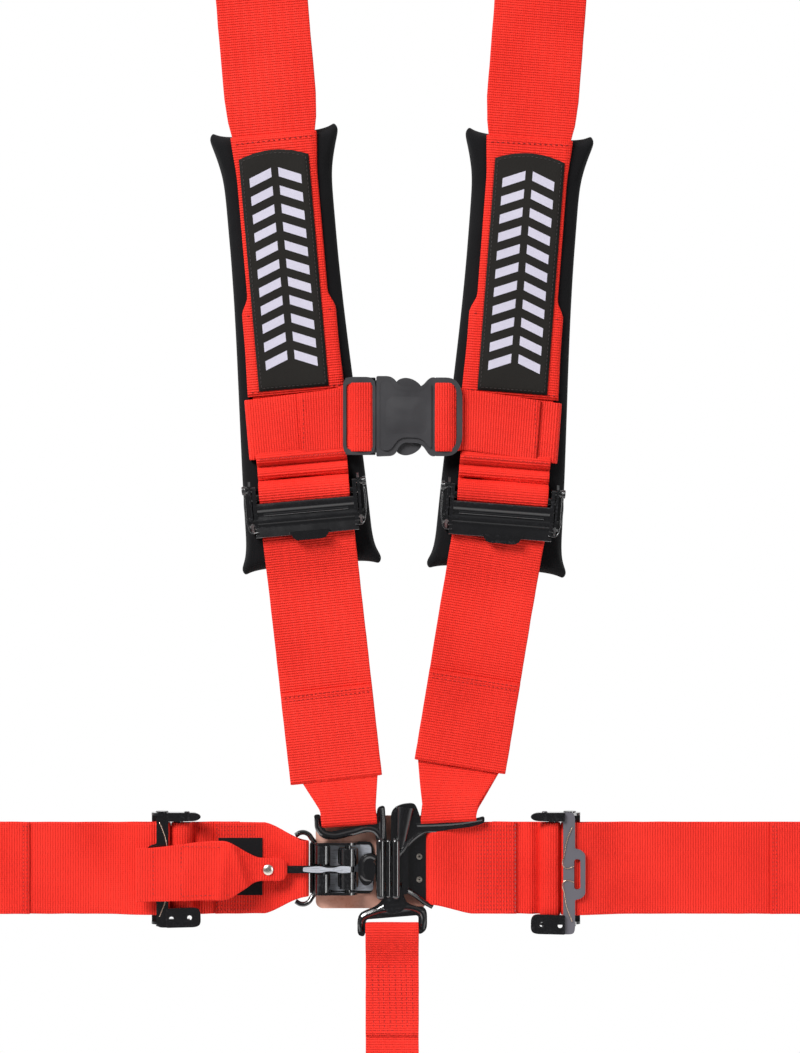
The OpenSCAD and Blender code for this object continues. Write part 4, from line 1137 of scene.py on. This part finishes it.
def shoulder_release(side):
    """Rolled channel with a long pressed bead, a flared lip and a thumb tab."""
    f, name = shoulder_frame(side), SIDE[side]
    p = Piece(f"release_channel_{name}", BLACK, f"shoulder_release_{name}", [f"shoulder_release_plate_{name}"], place=f)
    channel = [(-18.0, -4.6, 0.8), (-20.8, -4.8, 3.0), (-21.8, -9.0, 4.0), (-19.8, -12.6, 2.4),
               (-19.8, -15.8, 2.4), (-21.9, -19.4, 4.0), (-20.0, -23.6, 2.4), (-21.2, -27.0, 3.4),
               (-23.0, -32.6, 0.5), (-21.8, -33.2, 0.5), (-20.0, -27.4, 1.2), (-18.4, -23.4, 1.0), (-18.0, -12.0, 1.0)]
    p.slab([channel], 85, at=SIDE_ON)
    p.slab([[(-15, -30, 1), (-11, -37.5, 4), (15, -37.5, 4), (19, -30, 1)]], 1.6, -23.4)
    p.rod((-35, -19.7, -14.3), (35, -19.7, -14.3), 1.5)
    for s in (-1, 1):
        p.slab([[(-21.0, -26, 2.5), (-15.8, -26, 2.5), (-15.8, 9.6, 2.5), (-21.4, 9.6, 2.5)]], 3.2, s * 41.6, SIDE_ON)
        p.rod((s * 40, PIVOT_Y, PIVOT_Z), (s * 48.6, PIVOT_Y, PIVOT_Z), 2.1)
        p.rod((s * 46.8, PIVOT_Y, PIVOT_Z), (s * 48.8, PIVOT_Y, PIVOT_Z), 3.4)
    p.done(0.55, 3, 55)
    w = Piece(f"release_wire_{name}", BLACK, f"shoulder_release_{name}", slot="spring_wire", place=f)
    for s in (-1, 1):
        w.wire([(s * 49.8, -19, 2), (s * 50.2, -20.5, -8), (s * 48.6, -21.5, -22),
                (s * 46, -22, -28), (s * 40, -23, -28.6)],
               0.55)
    w.done(0)


def upward(side, outline):
    """Lap outlines are given as (towards the middle, up); the frame's own x runs up on the right."""
    return [(side * u, h, r) for h, u, r in outline]


def lap_adjuster(side):
    f, name = lap_frame(side), SIDE[side]
    drop = 0.0 if side < 0 else -4.0
    fixed = Piece(f"lap_frame_{name}", BLACK, f"lap_{name}", [f"lap_adjuster_frame_{name}"], place=f)
    cheek = [(-3.8, -23, 3), (-3.8, 9, 5), (-8, 14, 4), (-13.5, 14, 3), (-20.6, 10.5, 3.5), (-20.8, 2, 3),
             (-17, -2, 3), (-17, -14, 3), (-13, -23, 4)]
    for s in (-1, 1):
        fixed.slab([cheek, rect(-16.1, -7.9, -18, -8, 4)], 2.2, s * 45, SIDE_ON)
    fixed.rod((-45, BAR_Y, 0), (45, BAR_Y, 0), 3.4)
    fixed.slab([rect(-45, 45, -23, -17, 1.5)], 2, -4.8)
    fixed.done(0.4)

    # the right plate's grey colour is painted reflection; the left one stays gloss black
    move = Piece(f"lap_release_{name}", BLACK if side < 0 else GREY_PAINTED_REFLECTION, f"lap_release_{name}",
                 [f"lap_release_plate_{name}"], place=f)
    top, low = 47.0, -48.0 + drop * 1.4
    tab = [(-18, 21, 1.5), (-22, 20.5, 2), (-26.5, 17, 3), (-26.5, -17, 3), (-22, -20.5, 2), (-18, -21, 1.5)]
    rail = [(-8.2, low, 2), (-16.5, low, 4), (-18, low + 4, 3), *[(h, u + drop, r) for h, u, r in tab[::-1]],
            (-18, top - 4, 3), (-16.5, top, 4), (-8.2, top, 2)]
    hole = rect(-17.2, -22.4, 12.5 + drop, -12.5 + drop, 2.2)
    move.slab([upward(side, rail), upward(side, hole)], 2.2, -19.2)
    ears = Piece(f"lap_release_ears_{name}", BLACK, f"lap_release_{name}", place=f)
    for (high, bottom), holes in (((top, top - 7.5), ()), ((low + 16, low), ((-5.5, low + 7.4), (9.5, low + 8.4)))):
        ear = [(-9.5, bottom, 1), (-9.5, high, 1), (15, high + (1 if holes else 0), 4), (18.5, high - 2, 3),
               (18.8, bottom + 3, 4), (15, bottom + 0.6, 4)]
        rings = [upward(side, disc(h, u, 2, 0.4)) for h, u in holes]
        ears.slab([upward(side, ear), *rings], 2.0, -21.4)
    ears.done(0.6, 3)
    for s in (-1, 1):
        move.slab([[(-20.3, -9.5, 2), (-16.2, -9.5, 2), (-16.2, 9.6, 2.5), (-20.6, 9.6, 2.5)]], 2.2, s * 42, SIDE_ON)
        move.rod((s * 40.8, PIVOT_Y, PIVOT_Z), (s * 47.8, PIVOT_Y, PIVOT_Z), 2.0)
    move.done(0.6, 3)
    coil = Piece(f"lap_spring_coil_{name}", BLACK, f"lap_{name}", [f"lap_adjuster_springs_{name}"], "spring_wire", f)
    for s in (-1, 1):
        for turn in range(2):
            coil.rod((s * (46.2 + 0.65 * turn), PIVOT_Y, PIVOT_Z), (s * (46.7 + 0.65 * turn), PIVOT_Y, PIVOT_Z), 2.5)
    coil.done(0.15)
    copper = Piece(f"lap_spring_leg_{name}", WIRE, f"lap_release_{name}", slot="spring_wire", place=f)
    path = [(-15.5, 39), (-11, 27), (-8.8, 15), (-7.6, 8), (-10.5, 5), (-17, 6.5)]
    for s in (-1, 1):
        copper.wire([(side * (s * b + drop), -20.7, a) for a, b in path], 0.42)
    copper.done(0)


def tongue_eye(piece, x, width, front=-16.6):
    """The upright loop of a tongue: a rounded bar that the link's blade holds."""
    half = width / 2
    piece.slab([rect(x - half, x + half, LATCH_Z + 22, LATCH_Z - 22, 2)], 8, -12)
    piece.rod((x, front, LATCH_Z - 22), (x, front, LATCH_Z + 22), half + 0.15)
    for end in (-22, 22):
        piece.lens((x, front, LATCH_Z + end), (half + 0.15,) * 3)


def tongues():
    left = Piece("tongue_left", BLACK, "root", ["shoulder_tongue_left"])
    left.slab([[(-71.5, -849.5, 2.4), (-66, -849, 2.4), (-64.5, -858.5, 3), (-60.5, -864.0, 4), (-26, -857.6, 5),
                (-19.6, -851, 5), (-18.6, -843, 3), (-12.6, -841.5, 3), (-11.0, -866, 5), (-11.4, -874, 1),
                (-19.4, -874, 2), (-20.5, -865.0, 4), (-25, -863.6, 4), (-60, -870.4, 4), (-68, -866.5, 5)]], 3.6, -12)
    tongue_eye(left, -16.0, 7.0, -16.2)
    left.wire([(-68.5, -12.6, -853), (-66.6, -13.2, -862.5), (-58, -13.4, -867), (-40, -13.4, -864.4),
               (-24, -13.4, -861.4), (-17.4, -14, -866), (-15.4, -15.6, -876)], 2.7)
    left.wire([(-15.8, -12.4, -844), (-15.2, -13.4, -856), (-15.4, -15.6, -876)], 2.6)
    left.done(1.2, 4)
    crotch_loop = Piece("tongue_crotch", BLACK, "root", ["crotch_tongue"])
    crotch_loop.slab([[(-35.2, -949, 4), (-35.2, -931, 8), (-24, -927.2, 8), (-15.4, -922, 6), (-13.2, -912, 3),
                       (2.4, -911, 3), (4, -921, 6), (12, -925.6, 8), (22.4, -925.6, 8), (22.4, -944, 5), (18, -948, 3),
                       (15.4, -948, 1), (15.4, -947.1, 0), (-28.6, -947.1, 0), (-30.0, -950.5, 2)],
                      [(-28.2, -941.9, 2), (-28.2, -936.2, 2.4), (15.2, -932.6, 2.4), (15.2, -941.9, 2)]], 3.4, -12)
    crotch_loop.slab([[(-14.4, -926, 5), (-12.2, -917, 4), (-11.6, -908, 2), (1.0, -908, 2), (2.4, -917, 4),
                       (5.4, -925, 5), (1, -930, 4), (-10, -931, 4)]], 6.6, -13)
    tongue_eye(crotch_loop, -9.6, 4.4, -14.8)
    crotch_loop.swell([(-25, -931, 3), (-15.4, -924, 5), (-12.8, -916, 4), (-11.8, -908.6, 2), (1.2, -908.6, 2),
                       (2.4, -916, 4), (5.6, -923, 5), (14, -929, 3), (-5, -932.4, 3)], -14.8, 1.8)
    crotch_loop.wire([(-32, -12.4, -946), (-32, -13, -936), (-25, -13.2, -931.4), (-8, -13.4, -927.6),
                      (14, -13.2, -927.8), (18.8, -13, -932), (18.6, -12.4, -944)], 2.5)
    crotch_loop.done(1.2, 4)
    right = Piece("tongue_right", BLACK, "root", ["shoulder_tongue_right"])
    right.slab([[(-7.6, -846, 6), (0, -840.5, 6), (12, -839.5, 4), (15, -846, 4), (17.4, -854.6, 4), (60, -853.2, 3),
                 (70, -850.4, 2.5), (70, -856.2, 2.5), (60, -859.4, 4), (20, -864.6, 6), (9.5, -870, 6),
                 (3, -877, 4), (-7.4, -877, 3)]], 3.6, -12)
    tongue_eye(right, -3.4, 6.2, -16.4)
    right.rod((4.6, -11.6, -843.5), (0.4, -13.4, -877), 8.4, 3.6)
    right.wire([(14, -13, -858), (30, -12.8, -857.6), (50, -12.6, -856.2), (68, -12.4, -853.4)], 2.0)
    right.wire([(6, -14.5, -872), (2.5, -15, -878), (-3.8, -16, -884)], 2.4)
    right.done(1.2, 4)


def latch():
    z = LATCH_Z
    base = Piece("latch_housing", BLACK, "root", ["latch_base"])
    window = rect(-50, -34, z + 18, z - 18, 3)
    base.rod((-72.9, -9, z - 20.6), (-72.9, -9, z + 20.6), 1.9)
    base.slab([[(-75, z + 21.6, 3), (-23, z + 21.6, 4), (-21.5, z + 10, 4), (-21.5, z - 10, 4), (-23, z - 21.6, 4),
                (-75, z - 21.6, 3)], window], 2, -5.6)
    flange = [(-70.5, -5, 1), (-70.5, -17, 4), (-64, -19.8, 5), (-54, -17.6, 5), (-43, -20.2, 6), (-36, -16, 5),
              (-34.5, -5, 1)]
    for s in (-1, 1):
        base.slab([flange], 2.2, z + s * 20.6, UPRIGHT)
        base.wire([(-70, -9, z + s * 20.4), (-72.5, -10.5, z + s * 23.6), (-76.5, -12, z + s * 28.6),
                   (-82, -12, z + s * 29.6), (-86.5, -12, z + s * 27.2)], 2.1)
    base.rod((-80, BAR_Y, z - 22.6), (-80, BAR_Y, z + 22.6), 2.6)
    base.done(0.5)
    # the floor plate's pale colour is painted reflection
    floor = Piece("latch_floor", PALE_PAINTED_REFLECTION, "root", slot="bright_steel")
    holes = [rect(-51.5, -34.5, z + a, z + b, 3)
             for a, b in ((17, 2), (-3, -17))]
    plate = [(-58, z + 19, 3), (-24, z + 19, 3), (-22, z - 19, 3), (-58, z - 19, 3)]
    floor.slab([plate, *holes], 0.8, -7.2)
    floor.done(0.2)

    lever = Piece("lever", BLACK, "latch_lever", ["latch_lever"])
    for a, b in ((2.4, 16.8), (-16.8, -2.4)):
        lever.rod((-43, LATCH_Y, z + a), (-43, LATCH_Y, z + b), 7.0)
    lever.rod((-43, LATCH_Y, z - 3), (-43, LATCH_Y, z + 3), 5.0)
    lever.slab([[(-115.6, z - 5, 5), (-115.6, z + 5, 5), (-106, z + 6.4, 6), (-96, z + 3.1, 4), (-44, z + 3.2, 2),
                 (-44, z - 3.2, 2), (-96, z - 3.1, 4), (-106, z - 6.4, 6)],
                disc(RIVET_X, z, 3.1, 0.5)], 3.4, -19.3)
    lever.done(0.7, 3)
    rivet = Piece("tab_rivet_cap", BRIGHT, "latch_lever", ["pull_tab_rivet"], "bright_steel")
    rivet.rod((RIVET_X, -23.4, z), (RIVET_X, -16.4, z), 2.6)
    rivet.lens((RIVET_X, -23.0, z), (4.5, 1.8, 4.5))
    rivet.lens((RIVET_X, -16.2, z), (4.2, 1.2, 4.2))
    rivet.done(0)
    # a thin pale sheet along the lever's face; its pale colour is painted reflection
    shine = Piece("lever_pale_face", PALE_PAINTED_REFLECTION, "latch_lever", slot="bright_steel")
    shine.slab([[(-80, z - 1.6, 0.8), (-80, z + 1.6, 0.8), (-75, z + 2.2, 1.5), (-66, z + 2.8, 2), (-60, z + 1.3, 2),
                 (-54, z + 1.5, 2), (-49, z + 2.9, 2), (-41, z + 2.5, 1), (-41, z - 2.5, 1), (-49, z - 2.9, 2),
                 (-54, z - 1.5, 2), (-60, z - 1.3, 2), (-66, z - 2.8, 2), (-75, z - 2.2, 1.5)]], 0.5, -21.2)
    shine.done(0.15)

    claw = Piece("claw", BLACK, "root", ["latch_claw"])
    turns = [k * math.pi / 8 for k in range(16)]
    claw.slab([[(-28 + 8.8 * math.cos(a) * (0.9 if math.cos(a) > 0 else 0.78), z - 0.6 + 13.2 * math.sin(a), 1.5)
                for a in turns]], 9, -13.4)
    claw.wire([(-20.6, -15.4, z + 9), (-25, -15.9, z + 10.6), (-30, -15.9, z + 8), (-32, -15.9, z),
               (-30, -15.9, z - 7), (-24, -15.4, z - 9.4)], 2.7)
    claw.rod((-33.5, -15.2, z - 0.6), (-21, -15.2, z - 0.6), 2.6)
    claw.done(2.4, 4)

    link = Piece("link_plate", BLACK, "root", ["latch_link"])
    link.slab([[(2, z + 20, 3), (7, z + 20.6, 4), (17, z + 28, 5), (23.5, z + 31.5, 3), (27.4, z + 31.6, 3),
                (27.4, z - 31.5, 3), (23.5, z - 31, 3), (16, z - 26, 5), (8, z - 20.6, 4), (2, z - 20, 3)],
               rect(22, 24.6, z + 27, z - 27, 0.6)], 3.2, -8.2)
    link.slab([rect(1.6, 6.8, z + 21, z - 21, 2.4)], 9, -11.6)
    link.wire([(5, -14, z + 19), (12, -12.6, z + 25.5), (20, -12, z + 30.2), (30, -12.2, z + 31.2)], 2.0)
    link.wire([(5, -14, z - 18), (12, -12.6, z - 22), (20, -12, z - 28), (27, -12, z - 32)], 2.0)
    link.slab([rect(-20.3, 3, z + 11, z - 11, 1)], 3.2, LATCH_Y)
    link.done(0.9, 4)


def buckle():
    """Side-release buckle: a plug, a socket with a soft pillow on its face, and two prongs."""
    z = BUCKLE_MIDDLE
    plug = Piece("buckle_plug", PLASTIC, "root", ["sternum_buckle_plug"], "buckle_plastic")
    plug.slab([rect(-47.2, -20.2, z + 32.5, z - 32, 8),
               rect(-44.4, -22.2, z + 27, z - 27.5, 4)], 3.4, -14.4)
    plug.slab([rect(-21.2, -19, z + 30, z - 30, 0.3)], 3, -9.6)
    plug.slab([[(-46.5, z + 32, 5), (-20.2, z + 32, 1), (-20.2, z + 29, 1), (-43, z + 29, 4)]], 7, -12.2)
    plug.slab([[(-46.5, z - 32, 5), (-20.2, z - 32, 1), (-20.2, z - 27.2, 1), (-43, z - 27.2, 4)]], 7, -12.2)
    plug.rod((-31, -11, z - 30), (-31, -11, z + 30), 2.2)
    plug.slab([rect(-24, -20.4, z + 31.5, z - 31.5, 0.8)], 7, -12.2)
    plug.slab([rect(-21, 12, z + 7, z - 7, 1)], 4, -10)
    plug.done(0.9, 3)
    socket = Piece("buckle_socket", PLASTIC, "root", ["sternum_buckle_socket"], "buckle_plastic")
    shell = [(-19.6, z + 33.2, 1.5), (-6.5, z + 33.2, 5), (0.4, z + 24.4, 5), (18, z + 24.4, 4), (24.6, z + 32.2, 5),
             (30.6, z + 32, 3), (30.6, z - 33, 3), (25, z - 33, 4), (17.6, z - 22.4, 5), (1.5, z - 21.6, 5),
             (-4.8, z - 32.6, 4), (-19.6, z - 33.2, 1.5)]
    for middle in (-14.6, -5.6):
        socket.slab([shell], 3.2, middle)
    dome = [(-15.6, z + 28.5, 4), (-8.5, z + 28.5, 6), (-2, z + 19.6, 7), (18, z + 19.6, 6), (26, z + 28, 4),
            (26, z - 28, 4), (18, z - 18, 6), (-1, z - 17.4, 7), (-7.5, z - 28.5, 6), (-15.6, z - 28.5, 4)]
    socket.slab([dome], 2.0, -16.4)
    socket.swell(rect(-14.5, 25, z + 18.5, z - 17, 9), -17.3, 1.5)
    socket.slab([[(-18.8, z + 32, 1), (-8, z + 32, 3), (-2.8, z + 24, 3), (-2.8, z + 22.6, 1),
                  (-18.8, z + 22.6, 1)]], 8, -10)
    socket.slab([[(-18.8, z - 32, 1), (-6.4, z - 32, 3), (-2.8, z - 24, 3), (-2.8, z - 22, 1),
                  (-18.8, z - 22, 1)]], 8, -10)
    socket.slab([[(20, z + 25, 2), (25.6, z + 31, 3), (29.6, z + 31, 1), (29.6, z - 31, 1), (25.6, z - 31, 3),
                  (20, z - 24, 2)]], 8, -10)
    loop = [[(29.2, z + 32, 1), (45, z + 32, 9), (51.6, z + 22, 8), (51.6, z - 22, 8), (45, z - 33, 9),
             (29.2, z - 33, 1)],
            [(31, z + 27.6, 1), (43.4, z + 27.6, 6), (46.8, z + 22, 6), (46.8, z - 22, 6), (43.4, z - 27.6, 6),
             (31, z - 27.6, 1)]]
    socket.slab(loop, 3.6, -14.2)
    socket.slab([[(29.2, z + 31.4, 1), (45, z + 31.4, 6), (41, z + 27.8, 4), (29.2, z + 27.8, 1)]], 6.6, -12.0)
    socket.slab([[(29.2, z - 31.8, 1), (45, z - 31.8, 6), (41, z - 27.8, 4), (29.2, z - 27.8, 1)]], 6.6, -12.0)
    socket.rod((36, -11, z - 29), (36, -11, z + 29), 2.2)
    socket.done(1.6, 5)
    for name, s in (("upper", 1), ("lower", -1)):
        button = Piece(f"buckle_button_{name}", PLASTIC, f"prong_{name}", [f"sternum_buckle_prong_{name}"],
                       "buckle_plastic")
        zz = z if s > 0 else -520.2
        button.slab([[(-19.4, zz + s * 19.5, 1), (-19.4, zz + s * 22, 1), (-4.5, zz + s * 21, 3),
                      (-2.8, zz + s * 29.8, 3),
                      (4, zz + s * 32.4, 6), (12, zz + s * 30.4, 6), (18.6, zz + s * 24.6, 5), (17, zz + s * 18, 2)]],
                    5.2, -10.0)
        button.done(1.3, 4)


# ---------------------------------------------------------------- CAD nodes that stay, with edges eased and finished
def dress(node, material, bevel, segments=2):
    obj = NODES[node]
    obj.data.materials.clear()
    obj.data.materials.append(material)
    ease_edges(obj, bevel, segments, 35)


def dress_cad():
    for side in SIDE.values():
        dress(f"shoulder_anchor_plate_{side}", ZINC, 0.6)
        dress(f"lap_anchor_plate_{side}", ZINC, 0.6)
        dress(f"shoulder_adjuster_frame_{side}", BLACK, 0.5)
        dress(f"shoulder_slide_bar_{side}", BLACK, 0.3)
        dress(f"lap_slide_bar_{side}", BLACK, 0.3)
        dress(f"shoulder_adjuster_springs_{side}", BLACK, 0.05, 1)
    dress("crotch_anchor_plate", ZINC, 0.6)
    dress("latch_rollers", BLACK, 0.8, 3)
    dress("latch_pin_outer", BLACK, 0.3)
    dress("latch_pin_lever", BLACK, 0.3)
    dress("link_rivets", BRIGHT, 0.2)
    dress("latch_backing_pad", LEATHER, 0.9, 3)
    dress("hook_and_loop_patch", PILE, 0.3)


build_camera()
build_stage()
for side in (-1, 1):
    upper_strap(side)
    lower_strap(side)
    lap_inner(side)
    lap_outer(side)
    sternum(side)
    shoulder_pad(side)
    sleeve(side)
    label(side)
    shoulder_release(side)
    lap_adjuster(side)
crotch()
pull_tab()
sew_straps()
tongues()
latch()
buckle()
dress_cad()
